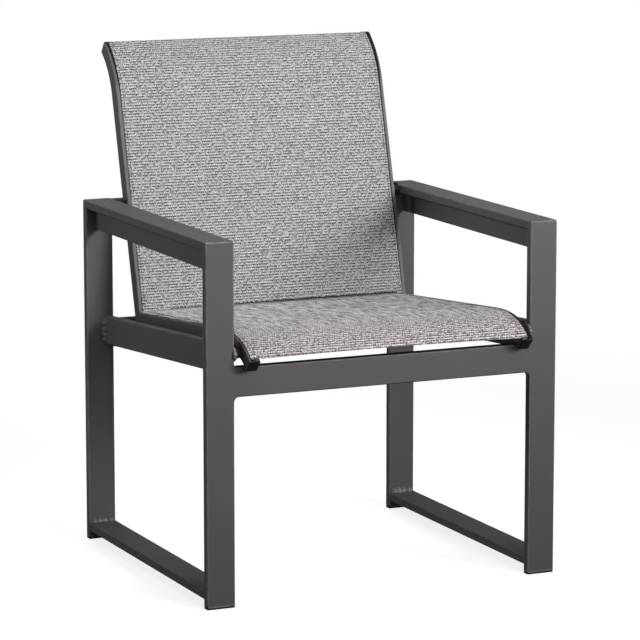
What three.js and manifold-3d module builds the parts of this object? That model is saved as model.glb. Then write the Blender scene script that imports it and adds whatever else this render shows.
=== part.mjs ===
// Stationary sling patio chair: a welded frame of flat aluminium tube that carries a woven seat
// and a woven back in slotted rails.
//
// Millimetres, +Z up, the front of the chair towards -Y. The origin is on the floor, under the
// middle of the chair's bounding box.

import * as THREE from 'three';
import { mergeVertices } from 'three/addons/utils/BufferGeometryUtils.js';
import Module from 'manifold-3d';

const wasm = await Module();
wasm.setup();

// Frame tube
const tubeWidth = 50.8;
const tubeDepth = 15.9;
const tubeWall = 1.6;
const tubeCornerRadius = 2.2;

// Side frames
const chairWidth = 655;
const frameDepth = 580;
const armHeight = 623.5;
const floorRailClearance = 15.6;
const armWebHeight = 37.8;
const armWebThickness = 3.2;
const armWebInset = 21.8;
const sideRailTopAtFront = 449;
const sideRailTopAtRear = 410;

// Cross members
const apronClearance = 14;
const lowerCrossbarDrop = 6;
const upperCrossbarDrop = 1;

// Slotted sling rail
const railWidth = 19;
const railDepth = 25.4;
const railWall = 1.6;
const railCornerRadius = 1.4;
const railSideGap = 13;
const slotInset = 9;
const slotWidth = 3.4;
const slotLip = 2;
const channelRadius = 4.2;
const chamberTop = 12;

// Side profile of the rails, measured on their upper and front edge
const rearMountClearance = 28;
const seatCornerHeight = 428.8;
const seatCurlStartSetback = 110;
const seatCurlStartHeight = 458.7;
const seatCurlEntryHandle = 40;
const seatTipOverhang = 37;
const seatTipHeight = 424;
const seatTipAngle = THREE.MathUtils.degToRad(45);
const seatCurlExitHandle = 60;
const backStraightLength = 398;
const backLean = THREE.MathUtils.degToRad(15.3);
const backCurlRadius = 157;
const backCurlAngle = THREE.MathUtils.degToRad(39.7);

// Rail end plugs
const plugPlateThickness = 2.5;
const plugInsertLength = 8;
const plugGap = 0.5;
const plugRounding = 0.8;

// Woven slings and the rods that lock them in the channels
const clothThickness = 1.2;
const splineRadius = 2.2;
const seatHemSetback = 5;
const backHemSetback = 1;
const creaseSetback = 3;

// Spreader bars between the rails
const spreaderWidth = 22;
const spreaderDepth = 10;
const spreaderWall = 1.5;
const spreaderCornerRadius = 2.5;
const spreaderSeatDepth = 13;
const seatSpreaderDistance = 190;
const backSpreaderRise = 131.5;

// Mounting bosses and bolts
const bossDiameter = 15.9;
const boltDiameter = 6;
const boltHeadDiameter = 12;
const boltHeadHeight = 3.6;
const boltEndSetback = 1.5;
const domeShare = 0.6;

// Leg glides
const glideThickness = 3;
const glideInsertHeight = 14;
const glideRounding = 1;

// Clearances
const weldGap = 0.3;
const fitGap = 0.3;
const cutOverrun = 2;

// Fineness of the round stretches
const cornerSteps = 3;
const channelSteps = 12;
const roundSteps = 16;
const curlSteps = 8;
const bisections = 40;

const frameColour = 0x47464a;
const railColour = 0x5a595c;
const clothColour = 0xa09b9e;
const plasticColour = 0x19181b;
const steelColour = 0x8c8c8c;

const sides = { left: -1, right: 1 };
const legInnerFace = chairWidth / 2 - tubeWidth;
const legCentre = chairWidth / 2 - tubeWidth / 2;
const railOuterFace = legInnerFace - railSideGap;
const railInnerFace = railOuterFace - railWidth;
const slotCentre = railOuterFace - slotInset;
const channelDepth = slotLip + Math.sqrt(channelRadius ** 2 - (slotWidth / 2) ** 2);
const chamberHeight = railDepth - railWall - chamberTop;
const chamberDepth = chamberTop + chamberHeight / 2;

const aluminium = new THREE.MeshStandardMaterial({ color: frameColour, roughness: 0.55, metalness: 0.35 });
const railMetal = new THREE.MeshStandardMaterial({ color: railColour, roughness: 0.5, metalness: 0.4 });
const cloth = new THREE.MeshStandardMaterial({ color: clothColour, roughness: 0.9, metalness: 0 });
const plastic = new THREE.MeshStandardMaterial({ color: plasticColour, roughness: 0.6, metalness: 0 });
const steel = new THREE.MeshStandardMaterial({ color: steelColour, roughness: 0.35, metalness: 0.9 });

const chair = new THREE.Group();

function add(name, geometry, material) {
  const mesh = new THREE.Mesh(geometry, material);
  mesh.name = name;
  chair.add(mesh);
}

// Sections: an outline and its holes, as points (u, v)

function arc(centreU, centreV, radius, from, to, steps) {
  const points = [];
  for (let i = 0; i <= steps; i += 1) {
    const angle = from + (to - from) * i / steps;
    points.push(new THREE.Vector2(
      centreU + radius * Math.cos(angle),
      centreV + radius * Math.sin(angle),
    ));
  }
  return points;
}

function circle(radius, centreU = 0, centreV = 0) {
  return arc(centreU, centreV, radius, 0, 2 * Math.PI, roundSteps).slice(1);
}

// A rectangle by its limits, with rounded corners where a radius is given
function rectangle(uMin, uMax, vMin, vMax, radius = 0) {
  const steps = radius > 0 ? cornerSteps : 0;
  const corners = [
    [uMax - radius, vMin + radius], [uMax - radius, vMax - radius],
    [uMin + radius, vMax - radius], [uMin + radius, vMin + radius],
  ];
  return corners.flatMap(([u, v], corner) => {
    const from = (corner - 1) * Math.PI / 2;
    return steps ? arc(u, v, radius, from, from + Math.PI / 2, steps) : [new THREE.Vector2(u, v)];
  });
}

function centredRectangle(width, height, radius = 0) {
  return rectangle(-width / 2, width / 2, -height / 2, height / 2, radius);
}

function tubeSection(width, height, wall, radius) {
  return {
    outline: centredRectangle(width, height, radius),
    holes: [centredRectangle(width - 2 * wall, height - 2 * wall)],
  };
}

const chamber = rectangle(railWall, railWidth - railWall, chamberTop, railDepth - railWall);

// The rail's section runs from its outer face inwards and from its upper face down.
function slingRailSection() {
  const half = slotWidth / 2;
  const edge = Math.asin((channelDepth - slotLip) / channelRadius);
  const outline = rectangle(0, railWidth, 0, railDepth, railCornerRadius);
  const keyhole = [
    new THREE.Vector2(slotInset - half, 0),
    ...arc(slotInset, channelDepth, channelRadius, Math.PI + edge, -edge, channelSteps),
    new THREE.Vector2(slotInset + half, 0),
  ];
  return { outline: [...outline, ...keyhole], holes: [chamber] };
}

// The cloth lies over the rails' inner lips, goes down each slot and loops round its spline rod.
function slingSection() {
  const loop = splineRadius + fitGap + clothThickness;
  const edge = Math.acos(clothThickness / loop);
  const underside = [-slotCentre + clothThickness, slotCentre - clothThickness];
  const loops = Object.values(sides).map((side) => (
    arc(side * slotCentre, channelDepth, loop, -edge, Math.PI + edge, channelSteps)
  ));
  return {
    outline: [
      new THREE.Vector2(-slotCentre - clothThickness, -fitGap - clothThickness),
      new THREE.Vector2(slotCentre + clothThickness, -fitGap - clothThickness),
      ...loops[1],
      new THREE.Vector2(underside[1], -fitGap),
      new THREE.Vector2(underside[0], -fitGap),
      ...loops[0],
    ],
    holes: Object.values(sides).map((side) => (
      circle(splineRadius + fitGap, side * slotCentre, channelDepth)
    )),
  };
}

// Solids

function closedGeometry(positions, triangles) {
  const geometry = new THREE.BufferGeometry();
  geometry.setAttribute('position', new THREE.Float32BufferAttribute(positions, 3));
  const corner = (index) => new THREE.Vector3().fromArray(positions, 3 * index);
  const volume = triangles.reduce((sum, [a, b, c]) => (
    sum + corner(a).dot(corner(b).cross(corner(c)))
  ), 0);
  geometry.setIndex((volume > 0 ? triangles : triangles.map(([a, b, c]) => [c, b, a])).flat());
  geometry.computeVertexNormals();
  return geometry;
}

function station(origin, uAxis, vAxis) {
  return { origin, uAxis, vAxis };
}

// Joins copies of one section, laid at each station in turn, into one closed body. A station puts
// the section's point (u, v) at its origin plus u and v along its two axes.
function loft({ outline, holes = [] }, stations) {
  const wound = (loop, clockwise) => (
    THREE.ShapeUtils.isClockWise(loop) === clockwise ? loop : [...loop].reverse()
  );
  const loops = [wound(outline, false), ...holes.map((hole) => wound(hole, true))];
  const lids = THREE.ShapeUtils.triangulateShape(loops[0], loops.slice(1));
  const points = loops.flat();
  const positions = stations.flatMap(({ origin, uAxis, vAxis }) => points.flatMap(({ x, y }) => (
    origin.clone().addScaledVector(uAxis, x).addScaledVector(vAxis, y).toArray()
  )));
  const count = points.length;
  const last = (stations.length - 1) * count;
  const triangles = lids.flatMap(([a, b, c]) => [[c, b, a], [last + a, last + b, last + c]]);
  for (let ring = 0; ring < last; ring += count) {
    let first = ring;
    for (const loop of loops) {
      for (let i = 0; i < loop.length; i += 1) {
        const a = first + i;
        const b = first + (i + 1) % loop.length;
        triangles.push([a, b, b + count], [a, b + count, a + count]);
      }
      first += loop.length;
    }
  }
  return closedGeometry(positions, triangles);
}

function toSolid(geometry) {
  const bare = geometry.clone();
  bare.deleteAttribute('normal');
  bare.deleteAttribute('uv');
  const merged = mergeVertices(bare);
  return new wasm.Manifold(new wasm.Mesh({
    numProp: 3,
    vertProperties: merged.attributes.position.array,
    triVerts: new Uint32Array(merged.index.array),
  }));
}

function cut(geometry, ...cutters) {
  const solid = cutters.reduce((rest, cutter) => rest.subtract(toSolid(cutter)), toSolid(geometry));
  const { vertProperties, triVerts } = solid.getMesh();
  const result = new THREE.BufferGeometry();
  result.setAttribute('position', new THREE.BufferAttribute(vertProperties, 3));
  result.setIndex(new THREE.BufferAttribute(triVerts, 1));
  result.computeVertexNormals();
  return result;
}

// A round piece about an axis along X, from the radius that it has at each X
function turned(profile, y, z) {
  const outline = profile.map(([x, radius]) => new THREE.Vector2(radius, x));
  const lathe = new THREE.LatheGeometry(outline, roundSteps);
  lathe.deleteAttribute('normal');
  lathe.deleteAttribute('uv');
  const merged = mergeVertices(lathe.rotateZ(-Math.PI / 2).translate(0, y, z));
  const index = [...merged.index.array];
  const triangles = [];
  for (let i = 0; i < index.length; i += 3) {
    const [a, b, c] = index.slice(i, i + 3);
    if (a !== b && b !== c && c !== a) triangles.push([a, b, c]);
  }
  return closedGeometry([...merged.attributes.position.array], triangles);
}

// Welded frame

const x = (value) => new THREE.Vector3(value, 0, 0);
const tube = tubeSection(tubeWidth, tubeDepth, tubeWall, tubeCornerRadius);
const railOnEdge = (height) => tubeSection(tubeDepth, height, tubeWall, tubeCornerRadius);

// A leg stands on its glide and is mitred to the arm cap: its top falls towards the other leg.
function addLeg(name, side, y, inwards) {
  const mitre = Math.SQRT2 * weldGap;
  const centre = side * legCentre;
  add(name, loft(tube, [
    station(new THREE.Vector3(centre, y, glideThickness), x(1), new THREE.Vector3(0, 1, 0)),
    station(
      new THREE.Vector3(centre, y, armHeight - tubeDepth / 2 - mitre),
      x(1),
      new THREE.Vector3(0, 1, -inwards),
    ),
  ]), aluminium);
}

function addArm(prefix, side) {
  const z = armHeight - tubeDepth / 2;
  add(`${prefix}_arm_cap`, loft(tube, [
    station(new THREE.Vector3(side * legCentre, tubeDepth / 2, z), x(1), new THREE.Vector3(0, -1, 1)),
    station(
      new THREE.Vector3(side * legCentre, frameDepth - tubeDepth / 2, z),
      x(1),
      new THREE.Vector3(0, 1, 1),
    ),
  ]), aluminium);

  const outer = chairWidth / 2 - armWebInset;
  const webTop = armHeight - tubeDepth - weldGap;
  const web = rectangle(outer - armWebThickness, outer, webTop - armWebHeight, webTop);
  add(`${prefix}_arm_web`, betweenLegs({ outline: web }, side), aluminium);
}

// Carries a section drawn in X and Z from the front leg's rear face to the rear leg's front face.
function betweenLegs(section, side, zFront = 0, zRear = 0) {
  const front = tubeDepth + weldGap;
  const rear = frameDepth - tubeDepth - weldGap;
  return loft(section, [
    station(new THREE.Vector3(0, front, zFront), x(side), new THREE.Vector3(0, 0, 1)),
    station(new THREE.Vector3(0, rear, zRear), x(side), new THREE.Vector3(0, 0, 1)),
  ]);
}

function addSideRails(prefix, side) {
  const shift = (section, u) => ({
    outline: section.outline.map((point) => new THREE.Vector2(point.x + u, point.y)),
    holes: section.holes.map((hole) => hole.map((point) => new THREE.Vector2(point.x + u, point.y))),
  });
  const slope = Math.atan2(sideRailTopAtFront - sideRailTopAtRear, frameDepth - 2 * tubeDepth);
  const height = tubeWidth / Math.cos(slope);
  add(`${prefix}_side_rail`, betweenLegs(
    shift(railOnEdge(height), legInnerFace + tubeDepth / 2),
    side,
    sideRailTopAtFront - height / 2,
    sideRailTopAtRear - height / 2,
  ), aluminium);
  const floorRailCentre = floorRailClearance + tubeDepth / 2;
  add(`${prefix}_floor_rail`, betweenLegs(
    shift(tube, legCentre), side, floorRailCentre, floorRailCentre,
  ), aluminium);
}

// A tube on edge from one side frame to the other, by its front face and its top
function addCrossMember(name, yFront, top) {
  const reach = legInnerFace - weldGap;
  const centre = new THREE.Vector3(0, yFront + tubeDepth / 2, top - tubeWidth / 2);
  add(name, loft(railOnEdge(tubeWidth), [-reach, reach].map((end) => (
    station(centre.clone().add(x(end)), new THREE.Vector3(0, 1, 0), new THREE.Vector3(0, 0, 1))
  ))), aluminium);
}

// A glide caps the foot of its leg and plugs into the tube.
function addGlide(name, side, y) {
  const inside = 2 * (tubeWall + fitGap);
  const levels = [
    [0, tubeWidth - 2 * glideRounding, tubeDepth - 2 * glideRounding],
    [glideRounding, tubeWidth, tubeDepth],
    [glideThickness, tubeWidth, tubeDepth],
    [glideThickness, tubeWidth - inside, tubeDepth - inside],
    [glideThickness + glideInsertHeight, tubeWidth - inside, tubeDepth - inside],
  ];
  add(name, loft({ outline: centredRectangle(1, 1, tubeCornerRadius / tubeDepth) }, levels.map(
    ([z, width, depth]) => station(
      new THREE.Vector3(side * legCentre, y, z), x(width), new THREE.Vector3(0, depth, 0),
    ),
  )), plastic);
}

// Rail paths

// The corner lies where the back rail, at its lean, passes the arm in front of the rear leg.
const rearMountHeight = armHeight - tubeDepth / 2;
const rearMountSetback = frameDepth - tubeDepth - rearMountClearance;
const mountOffset = (rearMountHeight - seatCornerHeight) * Math.tan(backLean)
  + chamberDepth / Math.cos(backLean);
const corner = new THREE.Vector2(rearMountSetback - mountOffset, seatCornerHeight);
const seatCurlStart = new THREE.Vector2(seatCurlStartSetback, seatCurlStartHeight);
const seatTip = new THREE.Vector2(-seatTipOverhang, seatTipHeight);
const seatHeading = seatCurlStart.clone().sub(corner).normalize();
const seatTipHeading = new THREE.Vector2(-Math.cos(seatTipAngle), -Math.sin(seatTipAngle));
const backHeading = new THREE.Vector2(Math.sin(backLean), Math.cos(backLean));
const backCurlStart = corner.clone().addScaledVector(backHeading, backStraightLength);
const backCurlCentre = backCurlStart.clone()
  .add(new THREE.Vector2(backHeading.y, -backHeading.x).multiplyScalar(backCurlRadius));

// A path of a rail's upper edge in (Y, Z): straight from the seat's corner, then a curl.
// The rail's depth lies to its left (1) or right (-1) as one goes along.
class RailPath {
  constructor(straight, curl, depthSide) {
    this.curve = new THREE.CurvePath();
    this.curve.add(straight);
    this.curve.add(curl);
    this.straightLength = straight.getLength();
    this.length = this.curve.getLength();
    this.depthSide = depthSide;
  }

  // The edge's place, heading and depth direction at a distance from the corner
  at(distance) {
    const share = Math.min(Math.max(distance / this.length, 0), 1);
    const point = this.curve.getPoint(share);
    const heading = this.curve.getTangent(share);
    const depth = new THREE.Vector2(-heading.y, heading.x).multiplyScalar(this.depthSide);
    return { point, heading, depth };
  }

  place(distance, depth, along = 0) {
    const here = this.at(distance);
    const { x: y, y: z } = here.point.clone()
      .addScaledVector(here.depth, depth).addScaledVector(here.heading, along);
    return new THREE.Vector3(0, y, z);
  }

  station(distance, xOrigin, xScale, along = 0) {
    const { depth } = this.at(distance);
    return station(this.place(distance, 0, along).add(x(xOrigin)), x(xScale), upright(depth));
  }

  // Distances from one to the other that follow the curl
  distances(from, to) {
    const curl = to - this.straightLength;
    const steps = Array.from({ length: curlSteps }, (_, i) => (
      this.straightLength + curl * (i + 1) / curlSteps
    ));
    return [from, this.straightLength, ...steps];
  }
}

function upright({ x: y, y: z }) {
  return new THREE.Vector3(0, y, z);
}

const seatPath = new RailPath(
  new THREE.LineCurve(corner, seatCurlStart),
  new THREE.CubicBezierCurve(
    seatCurlStart,
    seatCurlStart.clone().addScaledVector(seatHeading, seatCurlEntryHandle),
    seatTip.clone().addScaledVector(seatTipHeading, -seatCurlExitHandle),
    seatTip,
  ),
  1,
);
const backPath = new RailPath(
  new THREE.LineCurve(corner, backCurlStart),
  new THREE.EllipseCurve(
    backCurlCentre.x, backCurlCentre.y, backCurlRadius, backCurlRadius,
    Math.PI - backLean, Math.PI - backLean - backCurlAngle, true,
  ),
  -1,
);

// Sling rails, their end plugs, the cloth and what holds it

const mitreDirection = backHeading.clone().add(seatHeading).negate().normalize();

// The mitred end at the seat's corner, drawn back by half the weld's gap
function mitreStation(path, side) {
  const { depth } = path.at(0);
  const stretch = mitreDirection.clone().divideScalar(mitreDirection.dot(depth));
  return station(
    path.place(0, 0, weldGap / 2).add(x(side * railOuterFace)), x(-side), upright(stretch),
  );
}

function addSlingRail(name, side, path, boltHole) {
  const end = path.length - plugPlateThickness - fitGap;
  const stations = path.distances(0, end).slice(1)
    .map((distance) => path.station(distance, side * railOuterFace, -side));
  const rail = loft(slingRailSection(), [mitreStation(path, side), ...stations]);
  add(name, cut(rail, boltHole), railMetal);
}

// The plug's plate covers the rail's end and its tongue follows the chamber.
function addRailPlug(name, side, path) {
  const seat = path.length - plugPlateThickness;
  const tongue = [railWidth - 2 * (railWall + plugGap), chamberHeight - 2 * plugGap, chamberDepth];
  const plate = [railWidth, railDepth, railDepth / 2];
  const face = [railWidth - 2 * plugRounding, railDepth - 2 * plugRounding, railDepth / 2];
  const levels = [
    [seat - plugInsertLength, 0, tongue],
    [seat - plugInsertLength / 2, 0, tongue],
    [seat, 0, tongue],
    [seat, 0, plate],
    [seat, plugPlateThickness - plugRounding, plate],
    [seat, plugPlateThickness, face],
  ];
  const section = { outline: centredRectangle(1, 1, railCornerRadius / railWidth) };
  add(name, loft(section, levels.map(([distance, along, [width, height, depth]]) => station(
    path.place(distance, depth, along).add(x(side * (railOuterFace - railWidth / 2))),
    x(width),
    upright(path.at(distance).depth).multiplyScalar(height),
  ))), plastic);
}

function addSling(name, path, hemSetback) {
  const end = path.length - plugPlateThickness - hemSetback;
  const stations = path.distances(creaseSetback, end).map((distance) => path.station(distance, 0, 1));
  add(name, loft(slingSection(), stations), cloth);
}

function addSpline(name, side, path, hemSetback) {
  const end = path.length - plugPlateThickness - hemSetback - fitGap;
  const section = { outline: circle(splineRadius, 0, channelDepth) };
  add(name, loft(section, path.distances(creaseSetback, end).map((distance) => (
    path.station(distance, side * slotCentre, 1)
  ))), plastic);
}

// A flat tube across the chair behind the cloth, between the rails' inner faces
function addSpreader(name, path, distance) {
  const { heading, depth } = path.at(distance);
  const reach = railInnerFace - weldGap;
  const section = tubeSection(spreaderWidth, spreaderDepth, spreaderWall, spreaderCornerRadius);
  add(name, loft(section, [-reach, reach].map((end) => station(
    path.place(distance, spreaderSeatDepth).add(x(end)), upright(heading), upright(depth),
  ))), aluminium);
}

// Mounting points: how far along a rail the middle of its chamber passes the leg and the arm cap

function chamberDistance(path, coordinate, value) {
  let low = 0;
  let high = path.length;
  const rising = path.place(high, chamberDepth)[coordinate] > path.place(low, chamberDepth)[coordinate];
  for (let i = 0; i < bisections; i += 1) {
    const middle = (low + high) / 2;
    const beyond = path.place(middle, chamberDepth)[coordinate] > value;
    if (beyond === rising) high = middle;
    else low = middle;
  }
  return low;
}

const frontMountDistance = chamberDistance(seatPath, 'y', tubeDepth / 2);
const rearMountDistance = chamberDistance(backPath, 'z', rearMountHeight);
const frontMount = seatPath.place(frontMountDistance, chamberDepth);
const rearMount = backPath.place(rearMountDistance, chamberDepth);

function boltHole(side, { y, z }) {
  const from = side * (railInnerFace - cutOverrun);
  const to = side * (railOuterFace + cutOverrun);
  const radius = boltDiameter / 2 + fitGap;
  return turned([[from, 0], [from, radius], [to, radius], [to, 0]], y, z);
}

function addBoss(name, side, { y, z }) {
  const from = side * (railOuterFace + weldGap);
  const to = side * (legInnerFace - weldGap);
  const bore = boltDiameter / 2 + fitGap;
  const outer = bossDiameter / 2;
  add(name, turned([[from, bore], [from, outer], [to, outer], [to, bore], [from, bore]], y, z), aluminium);
}

function addBolt(name, side, { y, z }) {
  const seat = side * (railInnerFace - fitGap);
  const head = side * (railInnerFace - fitGap - boltHeadHeight);
  const rim = side * (railInnerFace - fitGap - boltHeadHeight / 2);
  const end = side * (legInnerFace - boltEndSetback);
  const shank = boltDiameter / 2;
  const headRadius = boltHeadDiameter / 2;
  add(name, turned([
    [head, 0], [head, headRadius * domeShare], [rim, headRadius], [seat, headRadius],
    [seat, shank], [end, shank], [end, 0],
  ], y, z), steel);
}

for (const [prefix, side] of Object.entries(sides)) {
  const frontLeg = tubeDepth / 2;
  const rearLeg = frameDepth - tubeDepth / 2;
  addLeg(`${prefix}_front_leg`, side, frontLeg, 1);
  addLeg(`${prefix}_rear_leg`, side, rearLeg, -1);
  addArm(prefix, side);
  addSideRails(prefix, side);
  addGlide(`${prefix}_front_glide`, side, frontLeg);
  addGlide(`${prefix}_rear_glide`, side, rearLeg);
  addSlingRail(`${prefix}_seat_rail`, side, seatPath, boltHole(side, frontMount));
  addSlingRail(`${prefix}_back_rail`, side, backPath, boltHole(side, rearMount));
  addRailPlug(`${prefix}_front_plug`, side, seatPath);
  addRailPlug(`${prefix}_top_plug`, side, backPath);
  addSpline(`${prefix}_seat_spline`, side, seatPath, seatHemSetback);
  addSpline(`${prefix}_back_spline`, side, backPath, backHemSetback);
  addBoss(`${prefix}_front_boss`, side, frontMount);
  addBoss(`${prefix}_rear_boss`, side, rearMount);
  addBolt(`${prefix}_front_bolt`, side, frontMount);
  addBolt(`${prefix}_rear_bolt`, side, rearMount);
}
addCrossMember('front_apron', 0, frontMount.z - bossDiameter / 2 - apronClearance);
addCrossMember('lower_rear_crossbar', frameDepth - tubeDepth, sideRailTopAtRear - lowerCrossbarDrop);
addCrossMember('upper_rear_crossbar', frameDepth - tubeDepth, armHeight - upperCrossbarDrop);
addSling('seat_sling', seatPath, seatHemSetback);
addSling('back_sling', backPath, backHemSetback);
addSpreader('seat_spreader', seatPath, seatSpreaderDistance);
addSpreader('back_spreader', backPath, rearMountDistance + backSpreaderRise);

// The origin goes under the middle of the chair.
const bounds = new THREE.Box3().setFromObject(chair);
const middle = bounds.getCenter(new THREE.Vector3());
for (const piece of chair.children) piece.geometry.translate(0, -middle.y, 0);

export default chair;
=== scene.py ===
"""Sling patio chair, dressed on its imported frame.

A welded frame of flat tube carries a woven seat and a woven back in slotted rails. Lengths are in
metres, Z is up and the chair faces -Y. Each sub-assembly is a class that works out its surfaces
as whole arrays and hands them to the workbench, which makes the pieces.
"""

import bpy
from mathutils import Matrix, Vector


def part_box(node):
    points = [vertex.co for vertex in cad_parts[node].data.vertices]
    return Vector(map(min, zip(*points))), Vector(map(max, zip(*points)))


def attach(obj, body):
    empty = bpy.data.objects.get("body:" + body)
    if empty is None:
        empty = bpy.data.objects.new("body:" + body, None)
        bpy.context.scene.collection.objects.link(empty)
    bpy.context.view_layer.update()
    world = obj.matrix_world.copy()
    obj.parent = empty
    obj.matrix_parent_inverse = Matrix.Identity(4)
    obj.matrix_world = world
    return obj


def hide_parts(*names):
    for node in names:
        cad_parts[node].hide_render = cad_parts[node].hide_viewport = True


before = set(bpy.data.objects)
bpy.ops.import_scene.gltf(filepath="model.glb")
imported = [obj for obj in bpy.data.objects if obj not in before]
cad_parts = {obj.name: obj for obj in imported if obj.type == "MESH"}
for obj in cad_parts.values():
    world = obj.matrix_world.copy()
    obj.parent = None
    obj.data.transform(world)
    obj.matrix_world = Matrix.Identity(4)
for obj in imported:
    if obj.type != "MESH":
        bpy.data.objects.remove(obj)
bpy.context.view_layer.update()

import logging
import math
from collections.abc import Callable
from dataclasses import dataclass
from enum import Enum
from functools import cached_property

import bmesh
import bpy
import numpy as np
from bpy.types import Material, Mesh, NodeTree, Object
from mathutils import Vector
from numpy.typing import NDArray

log = logging.getLogger("sling_chair")

Points = NDArray[np.float64]
Range = tuple[float, float]
Place = tuple[float, float, float]
Colour = tuple[float, float, float, float]
Socket = bpy.types.NodeSocket
Sockets = bpy.types.bpy_prop_collection

# An outline as (u, v), and its rim at each point
Section = tuple[Points, Points]

# Added to the seed that each weld bead draws its wander from
SEED = 413

WHITE = (1.0, 1.0, 1.0, 1.0)


class Slot(Enum):
    """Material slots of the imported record."""

    FRAME = "frame_coating"
    RAIL = "rail_coating"
    CLOTH = "sling_cloth"
    PLASTIC = "black_plastic"
    STEEL = "bolt_steel"


class Side(Enum):
    """The chair's two sides, by the sign of X."""

    LEFT = -1
    RIGHT = 1

    @property
    def prefix(self) -> str:
        """Start of the names of this side's pieces."""
        return self.name.lower()


@dataclass(frozen=True)
class ChairSizes:
    """Sizes that several sub-assemblies share, as in the part's source."""

    tube_width: float = 0.0508
    tube_depth: float = 0.0159
    tube_corner: float = 0.0022
    chair_width: float = 0.655
    frame_depth: float = 0.580
    arm_height: float = 0.6235
    glide_top: float = 0.003
    rail_width: float = 0.019
    rail_depth: float = 0.0254
    rail_side_gap: float = 0.013
    slot_inset: float = 0.009
    channel_depth: float = 0.00584
    plug_plate: float = 0.0025

    @property
    def leg_inner(self) -> float:
        """X of the legs' inner faces."""
        return self.chair_width / 2 - self.tube_width

    @property
    def leg_centre(self) -> float:
        """X of the legs' centre planes."""
        return (self.chair_width - self.tube_width) / 2

    @property
    def rail_outer(self) -> float:
        """X of the sling rails' outer faces."""
        return self.leg_inner - self.rail_side_gap

    @property
    def rail_inner(self) -> float:
        """X of the sling rails' inner faces."""
        return self.rail_outer - self.rail_width

    @property
    def slot_centre(self) -> float:
        """X of the middle of the rails' slots."""
        return self.rail_outer - self.slot_inset

    @property
    def front(self) -> float:
        """Y of the front legs' front faces."""
        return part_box("left_front_leg")[0].y


SIZES = ChairSizes()


@dataclass(frozen=True)
class Patch:
    """A stretch of a mesh.

    Its rim is 1 where the surface is a rounded edge, more where that edge gets a stronger painted
    highlight and more wear, and 0 on the flats. Its uv is in metres across and along the cloth.
    """

    points: Points
    faces: list[list[int]]
    rim: Points | None = None
    uv: Points | None = None


def unit(vectors: Points) -> Points:
    """Divides each vector, one a row, by its length."""
    return vectors / np.linalg.norm(vectors, axis=-1, keepdims=True)


def round_corners(corners: Points, radii: Points, steps: int = 5, margin: float = 0.25) -> Section:
    """Rounds the corners of a closed outline.

    Each arc touches both sides of its corner: its centre is on the bisector, at the radius divided
    by the sine of half the angle. A point just before and one just after it keep the flats flat.

    Args:
        corners: The corners in order, as (u, v).
        radii: The radius at each corner.
        steps: Stretches in each arc.
        margin: How far off an arc the points beside it lie, as a share of its radius.

    Returns:
        The outline's points, and 1 for each that is on an arc or 0 beside it.
    """
    back = unit(np.roll(corners, 1, axis=0) - corners)
    onward = unit(np.roll(corners, -1, axis=0) - corners)
    half = np.arccos(np.clip((back * onward).sum(axis=1), -1, 1)) / 2
    trim = (radii / np.tan(half))[:, None]
    centre = corners + unit(back + onward) * (radii / np.sin(half))[:, None]
    start, end = corners + back * trim, corners + onward * trim
    from_angle = np.arctan2(*(start - centre).T[::-1])
    turn = np.arctan2(*(end - centre).T[::-1]) - from_angle
    turn = (turn + np.pi) % (2 * np.pi) - np.pi
    angle = from_angle[:, None] + turn[:, None] * np.linspace(0, 1, steps + 1)
    arcs = centre[:, None] + radii[:, None, None] * np.stack([np.cos(angle), np.sin(angle)], -1)
    beside = margin * radii[:, None]
    outline = np.concatenate(
        [(start + back * beside)[:, None], arcs, (end + onward * beside)[:, None]], axis=1
    )
    rim = np.ones(outline.shape[:2])
    rim[:, [0, -1]] = 0
    return outline.reshape(-1, 2), rim.reshape(-1)


def rounded_rectangle(width: float, height: float, radius: float) -> Section:
    """Outline and rim of a rectangle about the origin, its corners rounded by round_corners."""
    corners = np.array([[1, -1], [1, 1], [-1, 1], [-1, -1]]) * [width / 2, height / 2]
    return round_corners(corners, np.full(4, radius))


def carry(section: Points, origins: Points, u_axes: Points, v_axes: Points) -> Points:
    """Carries a section along a path.

    Point (i, j) is origin i plus section point j's u and v along the two axes of station i.

    Args:
        section: The section's points (u, v).
        origins: A station's origin a row.
        u_axes: The direction of u at each station, or one for all.
        v_axes: The direction of v at each station, or one for all.

    Returns:
        The grid of points, stations by section.
    """
    u = np.broadcast_to(u_axes, origins.shape)[:, None]
    v = np.broadcast_to(v_axes, origins.shape)[:, None]
    return origins[:, None] + section[None, :, :1] * u + section[None, :, 1:] * v


def grid_patch(
    points: Points, around: bool = False, rim: Points | None = None, uv: Points | None = None
) -> Patch:
    """Joins a grid of points by four-sided faces.

    Args:
        points: The grid, rows by columns.
        around: Whether the last column joins the first.
        rim: The edge share at each column, if any.
        uv: The cloth's coordinates at each point, if any.

    Returns:
        The patch.
    """
    rows, columns = points.shape[:2]
    index = np.arange(rows * columns).reshape(rows, columns)
    here, beside = (index, np.roll(index, -1, axis=1)) if around else (index[:, :-1], index[:, 1:])
    quads = np.stack([here[:-1], beside[:-1], beside[1:], here[1:]], axis=-1).reshape(-1, 4)
    return Patch(
        points.reshape(-1, 3),
        quads.tolist(),
        None if rim is None else np.broadcast_to(rim, (rows, columns)).reshape(-1),
        None if uv is None else uv.reshape(-1, 2),
    )


def closed_tube(points: Points, rim: Points | None = None) -> Patch:
    """Joins rings of points into a body with both ends closed.

    Args:
        points: The rings, rows by columns.
        rim: The edge share at each column, if any.

    Returns:
        The patch.
    """
    skin = grid_patch(points, around=True, rim=rim)
    rows, columns = points.shape[:2]
    lids = [list(range(columns))[::-1], list(range((rows - 1) * columns, rows * columns))]
    return Patch(skin.points, skin.faces + lids, skin.rim)


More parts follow.
